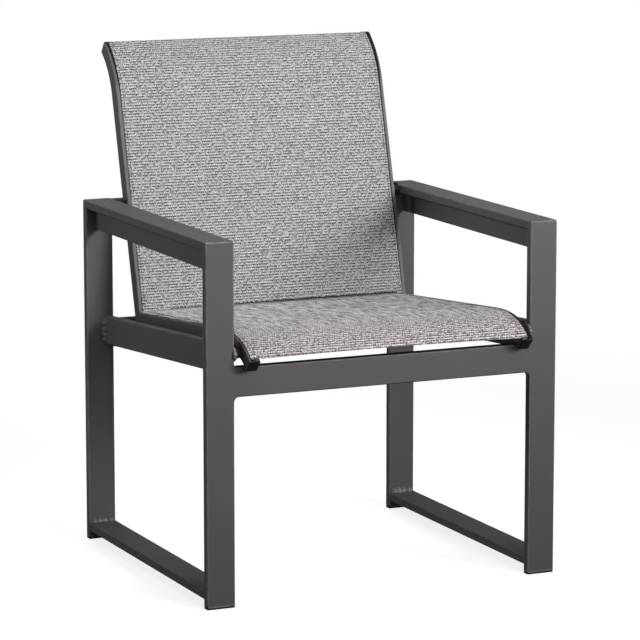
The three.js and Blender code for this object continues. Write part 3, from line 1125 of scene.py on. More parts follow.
@dataclass(frozen=True)
class WeldBead:
    """A weld bead, as the stacked ripples of a hand-run weld.

    Ripple and wander are shares of its radius, and blunt is one of its radius squared, at its ends.
    Its rim is a ripple's height plus a set share, so that its crests take wear and a painted
    highlight. It has per_ripple rings to a ripple, and a knot of its wander every per_knot rings.
    Where the Z of its heading is past steep, its rings are laid out from X instead of Z.
    """

    radius: float = 0.0042
    pitch: float = 0.0034
    ripple: float = 0.16
    wander: float = 0.10
    blunt: float = 0.05
    # Share added to each ripple's rim: a painted highlight on the crests.
    highlight_rim: float = 0.3
    steep: float = 0.9
    around: int = 14
    per_ripple: int = 6
    least_rings: int = 12
    per_knot: int = 10
    least_knots: int = 4

    def along(self, start: Points, end: Points, seed: int) -> Patch:
        """Runs a straight bead from start to end, with the wander of its seed."""
        return self.follow(np.array([start, end], float), seed)

    def follow(self, corners: Points, seed: int, closed: bool = False) -> Patch:
        """Runs a bead along a line of points.

        Its radius is the bead's own, times one plus the ripple (the size of a sine, one hump each
        pitch, less a half) plus a slow random wander. An open bead shrinks to a blunt point at
        both ends, by the height of a quarter circle.

        Args:
            corners: The line's points.
            seed: Seed of its wander.
            closed: Whether the line returns to its start.

        Returns:
            The bead.
        """
        if closed:
            corners = np.vstack([corners, corners[:1]])
        spans = np.linalg.norm(np.diff(corners, axis=0), axis=1)
        reach = np.concatenate([[0.0], np.cumsum(spans)])
        count = max(self.least_rings, int(reach[-1] / self.pitch * self.per_ripple))
        distance = np.linspace(0, reach[-1], count)
        line = np.stack([np.interp(distance, reach, corners[:, i]) for i in range(3)], axis=-1)
        heading = unit(np.gradient(line, axis=0))
        upright = np.abs(heading @ Z_AXIS)[:, None] > self.steep
        u_axis = unit(np.cross(heading, np.where(upright, X_AXIS, Z_AXIS)))
        v_axis = np.cross(heading, u_axis)
        chance = np.random.default_rng(SEED + seed)
        knots = chance.normal(0, self.wander, max(self.least_knots, count // self.per_knot))
        slow = np.interp(distance, np.linspace(0, reach[-1], len(knots)), knots)
        hump = np.abs(np.sin(np.pi * distance / self.pitch)) - 0.5
        size = self.radius * (1 + self.ripple * hump + slow)
        if not closed:
            from_end = np.minimum(distance, reach[-1] - distance) / self.radius
            size = size * np.sqrt(np.clip(1 - (1 - np.clip(from_end, 0, 1)) ** 2, self.blunt, 1))
        angle = np.linspace(0, 2 * np.pi, self.around, endpoint=False)
        ring = np.stack([np.cos(angle), np.sin(angle)], axis=-1)
        points = line[:, None] + size[:, None, None] * (
            ring[None, :, :1] * u_axis[:, None] + ring[None, :, 1:] * v_axis[:, None]
        )
        return closed_tube(points, np.clip(hump + self.highlight_rim, 0, 1)[:, None])


@dataclass
class OneSide:
    """A sub-assembly of one side of the chair."""

    side: Side
    bench: Workbench
    finishes: Finishes

    @property
    def sign(self) -> int:
        """The side's sign of X."""
        return self.side.value


@dataclass
class SideFrame(OneSide):
    """One welded side of the frame: legs and arm in one loop, a web, a side rail and a foot rail.

    The rail's tops are where it meets the front and the rear leg, and its drop is from there to the
    weld below it. A weld's end is how far it stops short of an edge, its sink how far it is set
    into a face and its lap how far over an edge.
    """

    outer_mitre: float = 0.0036
    inner_mitre: float = 0.0012
    foot_chamfer: float = 0.0012
    foot_step: float = 0.004
    mitre_reach: float = 0.02
    stations: int = 9
    # Rim value of the mitre's outer crest and the foot's rings: a painted highlight along those edges.
    highlight_rim: float = 1.8
    floor_clearance: float = 0.0156
    web_height: float = 0.0378
    web_thickness: float = 0.0032
    web_corner: float = 0.0008
    web_inset: float = 0.0218
    web_gap: float = 0.0009
    rail_tops: Range = (0.449, 0.410)
    rail_drop: float = 0.0505
    weld_end: float = 0.002
    weld_edge: float = 0.003
    weld_sink: float = 0.0004
    weld_lap: float = 0.0008
    bead: WeldBead = WeldBead()
    fine_bead: WeldBead = WeldBead(radius=0.0026, pitch=0.0028)
    thin_bead: WeldBead = WeldBead(radius=0.0018, pitch=0.0024)
    broad_bead: WeldBead = WeldBead(radius=0.0072, pitch=0.0105, ripple=0.32, wander=0.18)

    @property
    def section(self) -> Section:
        """Outline of the frame's tube, laid flat."""
        return rounded_rectangle(SIZES.tube_width, SIZES.tube_depth, SIZES.tube_corner)

    @property
    def leg_lines(self) -> Range:
        """Y of the front and the rear leg's centre."""
        front = SIZES.front + SIZES.tube_depth / 2
        return front, front + SIZES.frame_depth - SIZES.tube_depth

    def build(self) -> None:
        """Builds the side's pieces."""
        prefix = self.side.prefix
        for name, patch, nodes in (
            ("leg_and_arm_loop", self._loop(), ("front_leg", "arm_cap", "rear_leg")),
            ("arm_apron", self._web(), ("arm_web",)),
            ("side_stretcher", self._side_rail(), ("side_rail",)),
            ("foot_stretcher", self._floor_rail(), ("floor_rail",)),
        ):
            self.bench.make(
                f"{prefix}_{name}", [patch], self.finishes.frame, Slot.FRAME,
                tuple(f"{prefix}_{node}" for node in nodes),
            )
        # The welds take the lighter weld coat: a painted highlight on the beads.
        self.bench.make(f"{prefix}_side_welds", self._welds(), self.finishes.weld, Slot.FRAME)

    def _loop(self) -> Patch:
        """Legs and arm as one tube.

        A column of the section at height n off the loop's centre line goes up the front leg, round
        the mitre and along the arm, and down the rear leg. Round a mitre it is an arc that touches
        both runs, whose radius falls evenly from the outer to the inner face.

        Returns:
            The patch.
        """
        outline, rim = self.section
        across, off = outline.T
        front, rear = self.leg_lines
        foot, top = SIZES.glide_top, SIZES.arm_height - SIZES.tube_depth / 2
        share = (off + SIZES.tube_depth / 2) / SIZES.tube_depth
        radius = self.inner_mitre + (self.outer_mitre - self.inner_mitre) * share
        legs = np.concatenate([
            [foot, foot + self.foot_chamfer],
            np.linspace(foot + self.foot_step, top - self.mitre_reach, self.stations),
        ])
        turn = np.linspace(0, np.pi / 2, self.stations)[:, None]
        along = np.linspace(front + self.mitre_reach, rear - self.mitre_reach, self.stations)
        up = np.stack(np.broadcast_arrays(front - off, legs[:, None]), axis=-1)
        bend = np.stack([
            front - off + radius - radius * np.cos(turn),
            top + off - radius + radius * np.sin(turn),
        ], axis=-1)
        arm = np.stack(np.broadcast_arrays(along[:, None], top + off), axis=-1)
        mirrored = np.concatenate([up, bend])[::-1].copy()
        mirrored[..., 0] = front + rear - mirrored[..., 0]
        path = np.concatenate([up, bend, arm, mirrored])
        narrow = np.ones(len(path))
        narrow[[0, -1]] = 1 - 2 * self.foot_chamfer / SIZES.tube_width
        x = self.sign * SIZES.leg_centre + narrow[:, None] * across
        # A stronger rim on the outer crest of each mitre and the foot's rings paints a highlight there.
        crest = self.highlight_rim * np.sin(2 * turn) * np.clip(share * 4 - 3, 0, 1)
        leg_rim, arm_rim = np.zeros((len(legs), len(off))), np.zeros((len(along), len(off)))
        leg_rim[:2] = self.highlight_rim
        rims = np.concatenate([leg_rim, crest, arm_rim, crest[::-1], leg_rim[::-1]])
        return closed_tube(np.concatenate([x[..., None], path], axis=-1), np.maximum(rims, rim))

    def _between(self) -> Range:
        """Y of the front leg's rear face and of the rear leg's front face."""
        front, rear = self.leg_lines
        return front + SIZES.tube_depth / 2, rear - SIZES.tube_depth / 2

    def _bridge(self, section: Section, x: float, heights: Range) -> Patch:
        """Carries a section from the front to the rear leg, at an X and a height at either leg."""
        start, end = (np.array([x, y, z]) for y, z in zip(self._between(), heights))
        return straight_tube(section, start, end, X_AXIS, Z_AXIS)

    def _web(self) -> Patch:
        """The plate on edge below the arm, a little inside the arm's outer edge.

        Returns:
            The patch.
        """
        section = rounded_rectangle(self.web_thickness, self.web_height, self.web_corner)
        x = self.sign * (SIZES.chair_width / 2 - self.web_inset - self.web_thickness / 2)
        z = SIZES.arm_height - SIZES.tube_depth - self.web_gap - self.web_height / 2
        return self._bridge(section, x, (z, z))

    def _side_rail(self) -> Patch:
        """The tube on edge that carries the seat's height back to the rear leg, falling as it goes.

        Returns:
            The patch.
        """
        (front, rear), (high, low) = self._between(), self.rail_tops
        height = SIZES.tube_width / math.cos(math.atan2(high - low, rear - front))
        section = rounded_rectangle(SIZES.tube_depth, height, SIZES.tube_corner)
        x = self.sign * (SIZES.leg_inner + SIZES.tube_depth / 2)
        return self._bridge(section, x, (high - height / 2, low - height / 2))

    def _floor_rail(self) -> Patch:
        """The tube laid flat between the legs' feet."""
        z = self.floor_clearance + SIZES.tube_depth / 2
        return self._bridge(self.section, self.sign * SIZES.leg_centre, (z, z))

    def _welds(self) -> list[Patch]:
        """Beads where the rails and the web meet the legs.

        Returns:
            The patches.
        """
        fine, broad = self.fine_bead, self.broad_bead
        x_out = self.sign * (SIZES.leg_inner + SIZES.tube_depth - self.weld_sink)
        x_in = self.sign * (SIZES.leg_inner + self.weld_lap)
        centre, half = self.sign * SIZES.leg_centre, SIZES.tube_width / 2 - self.weld_edge
        left, right = centre - half, centre + half
        foot_low, foot_top = self.floor_clearance, self.floor_clearance + SIZES.tube_depth
        web = self.sign * (SIZES.chair_width / 2 - self.web_inset)
        web_top = SIZES.arm_height - SIZES.tube_depth - self.weld_end
        web_low = web_top - self.web_height + self.weld_edge
        first_seed = 10 + 40 * (self.sign > 0)
        patches = []
        for leg, (y, top, foot) in enumerate(zip(self._between(), self.rail_tops, (self.bead, broad))):
            low, high = top - SIZES.tube_width + self.weld_end, top - self.weld_end
            edge, keel = top - self.weld_lap, top - self.rail_drop
            runs = (
                (broad, (x_out, low), (x_out, high)),
                (fine, (x_in, low), (x_in, high)),
                (fine, (x_in, edge), (x_out, edge)),
                (fine, (x_in, keel), (x_out, keel)),
                (foot, (left, foot_top), (right, foot_top)),
                (fine, (left, foot_low), (right, foot_low)),
                (self.thin_bead, (web, web_low), (web, web_top)),
            )
            for number, (kind, (x0, z0), (x1, z1)) in enumerate(runs):
                patches.append(kind.along([x0, y, z0], [x1, y, z1], first_seed + leg + 2 * number))
        return patches


@dataclass
class CrossMembers:
    """The front apron and the two rear crossbars, which join the sides."""

    bench: Workbench
    finishes: Finishes
    lower_top: float = 0.404
    upper_drop: float = 0.001
    fillet: float = 0.009
    small_fillet: float = 0.005
    # Thickness of a black strip on the apron's top that paints the shade cast by the seat.
    shade_strip_thickness: float = 0.0012
    bead: WeldBead = WeldBead(radius=0.0028)
    bead_end: float = 0.003

    def build(self) -> None:
        """Builds the three members and their welds."""
        coat, slot = self.finishes.frame, Slot.FRAME
        apron_low, apron_high = (corner.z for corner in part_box("front_apron"))
        front = SIZES.front + SIZES.tube_depth / 2
        rear = front + SIZES.frame_depth - SIZES.tube_depth
        bars = (
            ("front_stretcher", "front_apron", front, apron_high),
            ("lower_back_stretcher", "lower_rear_crossbar", rear, self.lower_top),
            ("upper_back_stretcher", "upper_rear_crossbar", rear, SIZES.arm_height - self.upper_drop),
        )
        for name, node, y, top in bars:
            self.bench.make(name, [self._bar(y, top)], coat, slot, (node,))
        corners = (
            (front, apron_low, -1, self.fillet),
            (front, apron_high, 1, self.small_fillet),
            (rear, self.lower_top, 1, self.small_fillet),
        )
        fillets = [self._fillet(sign, *corner) for sign in (-1, 1) for corner in corners]
        self.bench.make("stretcher_weld_fillets", fillets, coat, slot)
        # A black strip on the apron's top: painted shade under the seat's front.
        strip = self._strip(front, apron_high)
        self.bench.make("front_stretcher_shade_strip", [strip], self.finishes.plastic, Slot.PLASTIC)
        beads = []
        for number, sign in enumerate((-1, 1)):
            for level, (_, _, y, top) in enumerate(bars):
                inside = y + (SIZES.tube_depth / 2 if y < 0 else -SIZES.tube_depth / 2)
                low, high = top - SIZES.tube_width + self.bead_end, top - self.bead_end
                x = sign * SIZES.leg_inner
                seed = 100 + 10 * number + level
                beads.append(self.bead.along([x, inside, low], [x, inside, high], seed))
        self.bench.make("stretcher_weld_beads", beads, coat, slot)

    @staticmethod
    def _span(section: Section, reach: float, y: float, z: float) -> Patch:
        """Carries a section across the chair, as far as the reach to either side."""
        left, right = (np.array([x, y, z]) for x in (-reach, reach))
        return straight_tube(section, left, right, Y_AXIS, Z_AXIS)

    def _bar(self, y: float, top: float) -> Patch:
        """A tube on edge with its centre at Y, let into the legs by the radius of their corners."""
        section = rounded_rectangle(SIZES.tube_depth, SIZES.tube_width, SIZES.tube_corner)
        return self._span(section, SIZES.leg_inner + SIZES.tube_corner, y, top - SIZES.tube_width / 2)

    def _strip(self, y: float, top: float) -> Patch:
        """A thin black strip on the top of a bar: painted shade where the seat above shades that top.

        Args:
            y: The bar's Y.
            top: The height of its top.

        Returns:
            The patch.
        """
        thickness = self.shade_strip_thickness
        section = rounded_rectangle(SIZES.tube_depth - SIZES.tube_corner, thickness, thickness / 3)
        return self._span(section, SIZES.leg_inner - self.small_fillet, y, top + thickness / 12)

    @staticmethod
    def _fillet(sign: int, y: float, z: float, upward: int, radius: float) -> Patch:
        """The ground weld that fills the corner between a bar and a leg.

        Seen from the front it is the corner less a quarter circle, whose centre is one radius off
        both faces. Across the tube's depth that circle grows by the tube's corner radius, less the
        corner radius times the sine of the angle round the edge, so the fillet's edges are rounded
        as the tube's are.

        Args:
            sign: The side's sign of X.
            y: The bar's centre.
            z: The bar's face that the corner is on.
            upward: 1 for a corner above the bar, -1 for one below it.
            radius: The fillet's radius.

        Returns:
            The patch.
        """
        turn = np.linspace(0, np.pi / 2, 11)
        edge = np.linspace(0, np.pi / 2, 5)
        corner, half = SIZES.tube_corner, SIZES.tube_depth / 2
        grown = corner * (1 - np.sin(edge))
        off = half - corner + corner * np.cos(edge)
        grown = np.concatenate([grown, grown[::-1]])
        off = np.concatenate([-off, off[::-1]])
        reach = radius + grown[:, None]
        x = radius - reach * np.cos(turn)
        height = radius - reach * np.sin(turn)
        arc = np.stack([x, np.broadcast_to(off[:, None], x.shape), height], axis=-1)
        root = np.full((len(off), 1, 3), -corner)
        root[..., 1] = off[:, None]
        ring = np.concatenate([root, arc], axis=1)
        return closed_tube(ring * [-sign, 1, upward] + [sign * SIZES.leg_inner, y, z])


@dataclass
class SlingRails(OneSide):
    """Keyhole rails of one side, mitred at the seat's corner, with their end plugs.

    The slot's radii are those of its corners from the face down into the channel. The section of
    the black strips that paint the slot's shade is given as (share of its width, depth), and the
    plug's root as the (rise, inset) of its rings below the dome.
    """

    slot_half: float = 0.0017
    slot_lip: float = 0.002
    channel: float = 0.0042
    corner: float = 0.0014
    slot_radii: tuple[float, ...] = (0.0005, 0.0003, 0.001, 0.0038)
    first_ring: float = 0.03
    straight_rings: int = 8
    curl_rings: int = 40
    curl_from: Range = (0.85, 0.86)
    shade_strip_section: tuple[Range, ...] = (
        (0.0, 0.0006), (0.0, -0.0003), (0.12, -0.0005), (0.88, -0.0005), (1.0, -0.0003), (1.0, 0.0006),
    )
    shade_strip_lap: float = 0.0006
    shade_strip_end: float = 0.0005
    plug_root: tuple[Range, ...] = ((-0.003, 0.0012), (-0.0001, 0.0012), (0.0, 0.0002), (0.0003, 0.0))
    plug_rounding: float = 0.0007
    seam: WeldBead = WeldBead(radius=0.0016, pitch=0.002)
    seam_stand: float = 0.0002

    @property
    def lip_shade_strips(self) -> list[tuple[RailPath, float, Range]]:
        """Path, reach from the rail's end, and width at both ends, of each painted-shade strip by the slot.
        """
        if self.side is Side.LEFT:
            return [(SEAT_PATH, 0.12, (0.0008, 0.0052)), (BACK_PATH, 0.11, (0.0008, 0.0056))]
        return [
            (SEAT_PATH, 0.15, (0.0045, 0.0076)), (BACK_PATH, 0.14, (0.0014, 0.0078)),
            (BACK_PATH, 0.48, (0.0014, 0.0024)),
        ]

    def build(self) -> None:
        """Builds the rails, the plugs, the black strips of painted shade and the mitre's weld."""
        prefix = self.side.prefix
        rail, plastic = self.finishes.rail, self.finishes.plastic
        self.bench.make(
            f"{prefix}_sling_rail", [self._rail(*rings) for rings in self._rings()], rail, Slot.RAIL,
            (f"{prefix}_seat_rail", f"{prefix}_back_rail"),
        )
        for path, name, node in (
            (SEAT_PATH, "front_end_plug", "front_plug"), (BACK_PATH, "top_end_plug", "top_plug"),
        ):
            plug = self._plug(path)
            self.bench.make(f"{prefix}_{name}", [plug], plastic, Slot.PLASTIC, (f"{prefix}_{node}",))
        # Black strips on the slot's lip paint the shade seen in the slot.
        strips = [self._trim(*trim) for trim in self.lip_shade_strips]
        self.bench.make(f"{prefix}_slot_trim", strips, plastic, Slot.PLASTIC)
        corner, down = self._mitre(SEAT_PATH)
        under = corner + down * SIZES.rail_depth
        inner = self.sign * (SIZES.rail_inner - self.seam_stand)
        outer = self.sign * (SIZES.rail_outer + self.seam_stand)
        weld = self.seam.along([inner, *under[1:]], [outer, *under[1:]], 200 + self.sign)
        self.bench.make(f"{prefix}_rail_mitre_weld", [weld], rail, Slot.RAIL)

    @property
    def section(self) -> Section:
        """The keyhole: u runs inwards from the outer face and v down from the upper face.

        Returns:
            Its outline and rim.
        """
        width, depth = SIZES.rail_width, SIZES.rail_depth
        slot, half, lip, wide = SIZES.slot_inset, self.slot_half, self.slot_lip, self.channel
        floor = lip + 2 * wide
        corners = np.array([
            [0, 0], [slot - half, 0], [slot - half, lip], [slot - wide, lip], [slot - wide, floor],
            [slot + wide, floor], [slot + wide, lip], [slot + half, lip], [slot + half, 0],
            [width, 0], [width, depth], [0, depth],
        ])
        slot_radii, outer_radii = self.slot_radii, [self.corner] * 3
        return round_corners(corners, np.array([self.corner, *slot_radii, *slot_radii[::-1], *outer_radii]))

    @staticmethod
    def _mitre(path: RailPath) -> tuple[Points, Points]:
        """The seat's corner, and a path's depth there, drawn out to lie in the mitre's plane.

        That plane lies along minus the sum of both paths' headings.

        Args:
            path: The path.

        Returns:
            The corner and the depth.
        """
        axis = -unit(SEAT_PATH.at(0.0)[1][0] + BACK_PATH.at(0.0)[1][0])
        corner, _, depth = path.at(0.0)
        return corner[0], axis / (axis @ depth[0])

    def _rings(self) -> tuple[tuple[RailPath, Points], ...]:
        """Both paths, each with the distances at which its rail has a ring.

        Returns:
            The paths and their distances.
        """
        seat_end, back_end = (path.length - SIZES.plug_plate for path in (SEAT_PATH, BACK_PATH))
        straight_end, curl_start = (PROFILE.back_length * share for share in self.curl_from)
        back = np.concatenate([
            np.linspace(self.first_ring, straight_end, self.straight_rings),
            np.linspace(curl_start, back_end, self.curl_rings),
        ])
        seat = np.linspace(self.first_ring, seat_end, self.straight_rings + self.curl_rings)
        return (SEAT_PATH, seat), (BACK_PATH, back)

    def _rail(self, path: RailPath, distances: Points) -> Patch:
        """Carries the keyhole section along a path, from the mitre to the end plug.

        Args:
            path: The rail's path.
            distances: Where along it the rail has a ring, past the mitre's.

        Returns:
            The patch.
        """
        outline, rim = self.section
        point, _, depth = path.at(distances)
        corner, stretched = self._mitre(path)
        origins = np.vstack([corner, point]) + [self.sign * SIZES.rail_outer, 0, 0]
        rings = carry(outline, origins, X_AXIS * -self.sign, np.vstack([stretched, depth]))
        return closed_tube(rings, rim)

    def _trim(self, path: RailPath, reach: float, ends: Range) -> Patch:
        """A thin black strip of painted shade on the slot's outer lip, widening evenly toward the rail's
        end.

        Args:
            path: The rail's path.
            reach: How far from the rail's end it starts.
            ends: Its width there and at the rail's end.

        Returns:
            The patch.
        """
        end = path.length - SIZES.plug_plate - self.shade_strip_end
        distances = np.linspace(end - reach, end, 40)
        point, _, depth = path.at(distances)
        share, height = np.array(self.shade_strip_section).T
        widths = np.linspace(*ends, len(distances))[:, None]
        across = SIZES.slot_inset - self.slot_half + self.shade_strip_lap - widths * share
        x = self.sign * (SIZES.rail_outer - across)
        return closed_tube(point[:, None] + height[None, :, None] * depth[:, None] + x[..., None] * X_AXIS)

    def _plug(self, path: RailPath) -> Patch:
        """The plug's plate over the rail's end, domed a little and rounded at its rim.

        A ring of the dome is the rail's outline drawn in by the rounding times one less the cosine
        of its angle, and stands the rounding times one less the sine below the plate's face.

        Args:
            path: The rail's path.

        Returns:
            The patch.
        """
        width, depth = SIZES.rail_width, SIZES.rail_depth
        point, heading, down = (row[0] for row in path.at(path.length - SIZES.plug_plate))
        middle = point + down * depth / 2 + X_AXIS * self.sign * (SIZES.rail_outer - width / 2)
        turn = np.linspace(0, np.pi / 2, 5)
        dome = np.stack([
            SIZES.plug_plate - self.plug_rounding * (1 - np.sin(turn)),
            self.plug_rounding * (1 - np.cos(turn)),
        ], axis=-1)
        rings = []
        for rise, inset in np.vstack([self.plug_root, dome]):
            outline, _ = rounded_rectangle(width - 2 * inset, depth - 2 * inset, self.corner)
            rings.append(carry(outline, (middle + heading * rise)[None], X_AXIS, down)[0])
        # The dome's rounded ring is marked as a rim: wear and a painted highlight in the plastic.
        rim = np.zeros((len(rings), len(rings[0])))
        rim[len(self.plug_root) - 1:-1] = 1
        return closed_tube(np.stack(rings), rim)


@dataclass
class Sling:
    """A panel of cloth stretched between the two rails, with its hem and its seams.

    Its lift is its height above the left and the right rail. Its overhang is how far it hangs over
    each slot, left and right, at the crease and at the hem. Setbacks and ends are counted from the
    crease or from its end, and its tail from the seat's corner.
    """

    name: str
    node: str
    path: RailPath
    hem_setback: float
    bench: Workbench
    cloth: Material
    thread: Material
    plastic: Material
    thickness: float = 0.0011
    hem_thinning: float = 0.9
    lift: Range = (0.0009, 0.0009)
    overhang: tuple[Range, Range] = ((0.0, 0.0), (0.0, 0.0))
    overhang_lift: float = 0.0007
    hem_bow: float = 0.0
    crease_setback: float = 0.003
    tail: float = 0.012
    # A black cord in the crease between the panels: painted shade of the gap between them.
    edging: Range | None = None
    edging_radius: float = 0.0013
    edging_along: float = 0.0026
    edging_over: float = 0.0012
    lip_radius: float = 0.0013
    lip_shift: float = 0.0004
    loop_radius: float = 0.0029
    loop_turn: Range = (-0.15 * np.pi, 1.35 * np.pi)
    hem_radius: float = 0.0008
    hem_depth: float = 0.024
    hem_half_width: float = 0.2425
    hem_columns: int = 60
    stitch_pitch: float = 0.0044
    stitch_share: float = 0.36
    stitch_tip: float = 0.25
    thread_radius: float = 0.0008
    stitch_rows: tuple[float, ...] = (0.0046, 0.0091)
    tack_rows: tuple[float, ...] = ()
    tack: float = 0.014
    stitch_end: float = 0.003
    stitch_sink: float = 0.0001
    edge_slack: float = 0.0002
    seam_start: float = 0.004
    seam_inset: float = 0.003
    rows: int = 190
    columns: int = 90
    sharp_angle: float = 80.0

    @property
    def end(self) -> float:
        """How far along the path the cloth's side edges reach."""
        return self.path.length - SIZES.plug_plate - self.hem_setback

    def _ends(self, x: Points) -> Points:
        """How far the cloth reaches at X: its end draws back by a parabola, most in the middle."""
        return self.end - self.hem_bow * (1 - np.minimum(np.abs(x) / self.hem_half_width, 1) ** 2)

    def build(self) -> None:
        cloth = self._panel()
        hem = self.bench.make(
            f"{self.name}_hem", [self._hem(), self._tail()], self.cloth, Slot.CLOTH, closed=False,
        )
        self._thicken(hem, self.hem_thinning)
        if self.edging:
            self.bench.make(f"{self.name}_edging", [self._edging()], self.plastic, Slot.PLASTIC)
        stitches = [self._stitches()]
        hem_parts = [hem, self.bench.make(f"{self.name}_stitching", stitches, self.thread, Slot.CLOTH)]

    def _rise(self, x: Points) -> Points:
        """Height of the cloth's middle above the rails' upper face: a line from side to side."""
        left, right = self.lift
        return left + (right - left) * (x / SIZES.slot_centre + 1) / 2

    def _across(self, shares: Points) -> Points:
        """The cloth's middle line across the chair, as (X, depth below the rails' upper face).

        It changes evenly from its shape at the crease to its shape at the hem.

        Args:
            shares: Places along the cloth, 0 at the crease and 1 at the hem.

        Returns:
            The line's points at each place.
        """
        crease, hem = (
            np.concatenate([self._half(Side.LEFT, i)[:0:-1] * [-1, 1], self._half(Side.RIGHT, i)])
            for i in (0, 1)
        )
        return crease + (hem - crease) * shares[:, None, None]

    def _half(self, side: Side, at_hem: int) -> Points:
        """One half of the middle line, with X counted outwards.

        It is flat out to the slot, turns down over the slot's lip by a quarter circle, and goes
        three quarters round the spline rod in the channel. Where it hangs over the slot it first
        folds back under itself by a half circle.

        Args:
            side: The chair's side.
            at_hem: 1 for its shape at the hem, 0 for that at the crease.

        Returns:
            The line's points.
        """
        place = list(Side).index(side)
        lift, overhang = self.lift[place], self.overhang[place][at_hem]
        slot, lip = SIZES.slot_centre + self.lip_shift, self.lip_radius
        turn = np.linspace(0, np.pi / 2, 7)[1:]
        if overhang:
            fold = (lift - self.overhang_lift) / 2
            edge = slot + overhang - fold
            bend = np.linspace(0, np.pi, 9)[1:]
            folded = np.stack([edge + fold * np.sin(bend), -lift + fold * (1 - np.cos(bend))], axis=-1)
            inward = np.stack([
                slot + lip - lip * np.sin(turn), -self.overhang_lift + lip * (1 - np.cos(turn)),
            ], axis=-1)
            over = np.concatenate([folded, inward])
        else:
            edge = slot - lip
            over = np.stack([edge + lip * np.sin(turn), -lift + lip * (1 - np.cos(turn))], axis=-1)
        around = np.linspace(*self.loop_turn, 12)
        loop = np.stack([
            SIZES.slot_centre + self.loop_radius * np.cos(around),
            SIZES.channel_depth + self.loop_radius * np.sin(around),
        ], axis=-1)
        flat = np.linspace(0, edge, self.columns // 2)
        return np.concatenate([np.stack([flat, -self._rise(side.value * flat)], axis=-1), over, loop])

    def _lay(self, x: Points, below: Points, distances: Points) -> Points:
        """Places a grid by its X, its depth below the upper face and its distances along the path."""
        point, _, depth = (part.reshape(*distances.shape, 3) for part in self.path.at(distances.ravel()))
        return point + below[..., None] * depth + x[..., None] * X_AXIS

    def _panel(self) -> Object:
        """The stretched panel.

        Returns:
            Its piece.
        """
        shares = np.linspace(0, 1, self.rows)
        x, below = np.moveaxis(self._across(shares), -1, 0)
        distances = self.crease_setback + (self._ends(x) - self.crease_setback) * shares[:, None]
        points = self._lay(x, below, distances)
        steps = np.hypot(np.diff(x, prepend=x[:, :1]), np.diff(below, prepend=below[:, :1]))
        u = np.cumsum(steps, axis=1)
        uv = np.stack([u - u[:, [len(self._half(Side.LEFT, 0)) - 1]], distances], axis=-1)
        piece = self.bench.make(
            self.name, [grid_patch(points, uv=uv)], self.cloth, Slot.CLOTH, (self.node,),
            closed=False, sharp_angle=self.sharp_angle,
        )
        self._thicken(piece, 1.0)
        return piece

    def _thicken(self, piece: Object, share: float) -> None:
        """Gives a cloth piece its wall.

        Args:
            piece: The piece.
            share: The wall, as a share of the cloth's thickness.
        """
        wall = piece.modifiers.new("wall", "SOLIDIFY")
        wall.thickness = self.thickness * share
        wall.offset = 0.0
        wall.use_rim = True

    def _hem(self) -> Patch:
        """The end of the cloth, turned under in a half circle and laid back below the panel.

        Returns:
            The patch.
        """
        radius = self.hem_radius
        turn = np.linspace(0, np.pi, 9)
        back = np.linspace(0, self.hem_depth, 8)[1:]
        x = np.linspace(-self.hem_half_width, self.hem_half_width, self.hem_columns)[None, :]
        past = np.concatenate([radius * np.sin(turn), -back])[:, None] + self._ends(x)
        below = np.concatenate([radius * (1 - np.cos(turn)), np.full(len(back), 2 * radius)])[:, None]
        run = np.concatenate([radius * turn, radius * np.pi + back])[:, None] + self._ends(x)
        x, below = np.broadcast_arrays(x, below - self._rise(x))
        return grid_patch(self._lay(x, below, past), uv=np.stack([x, run], axis=-1))

    def _tail(self) -> Patch:
        """The end of the cloth at the crease, which runs on behind the panel and past the corner.

        Returns:
            The patch.
        """
        distance = np.linspace(self.crease_setback + self.hem_depth, -self.tail, 12)[:, None]
        x = np.linspace(-self.hem_half_width, self.hem_half_width, self.hem_columns)[None, :]
        x, distance = np.broadcast_arrays(x, distance)
        points = self._lay(x, self.thickness - self._rise(x), distance)
        return grid_patch(points, uv=np.stack([x, distance], axis=-1))

    def _edging(self) -> Patch:
        """A black cord along the cloth's edge at the crease, from one X to the other: painted shade of the
        gap.

        Returns:
            The patch.
        """
        point, _, depth = (row[0] for row in self.path.at(self.crease_setback + self.edging_along))
        angle = np.linspace(0, 2 * np.pi, 10, endpoint=False)
        ring = self.edging_radius * np.stack([np.cos(angle), np.sin(angle)], axis=-1)
        left, right = (point - depth * self.edging_over + X_AXIS * x for x in self.edging)
        return straight_tube((ring, np.zeros(len(ring))), left, right, Y_AXIS, Z_AXIS)

    def _stitches(self) -> Patch:
        """Rows of stitches along both edges and across the hem.

        Returns:
            One patch with every stitch.
        """
        start, end = self.crease_setback, self.end
        every = np.arange(end - self.stitch_end, start + self.seam_inset, -self.stitch_pitch)
        skin = self.thickness / 2 - self.stitch_sink
        rows = []
        for side, overhang in zip(Side, self.overhang):
            for inset in self.stitch_rows + self.tack_rows:
                stops = every[every > end - self.tack] if inset in self.tack_rows else every
                point, heading, depth = self.path.at(stops)
                edge = SIZES.slot_centre + np.interp(stops, (start, end), overhang) - self.edge_slack
                x = side.value * (edge - inset)[:, None]
                rows.append((point - depth * (self._rise(x) + skin) + X_AXIS * x, heading, X_AXIS, -depth))
        last = self.hem_half_width - self.seam_inset
        x = np.arange(-self.hem_half_width + self.seam_start, last, self.stitch_pitch)[:, None]
        seam = self.path.at(end - self.hem_depth + self.seam_inset)
        point, heading, depth = (row[0] for row in seam)
        under = 2 * self.hem_radius + self.thickness / 2 - self._rise(x)
        rows.append((point + under * depth + x * X_AXIS, X_AXIS, heading, depth))
        spread = [np.broadcast_arrays(*row) for row in rows]
        return self._stitch_rows(*(np.concatenate(part) for part in zip(*spread)))

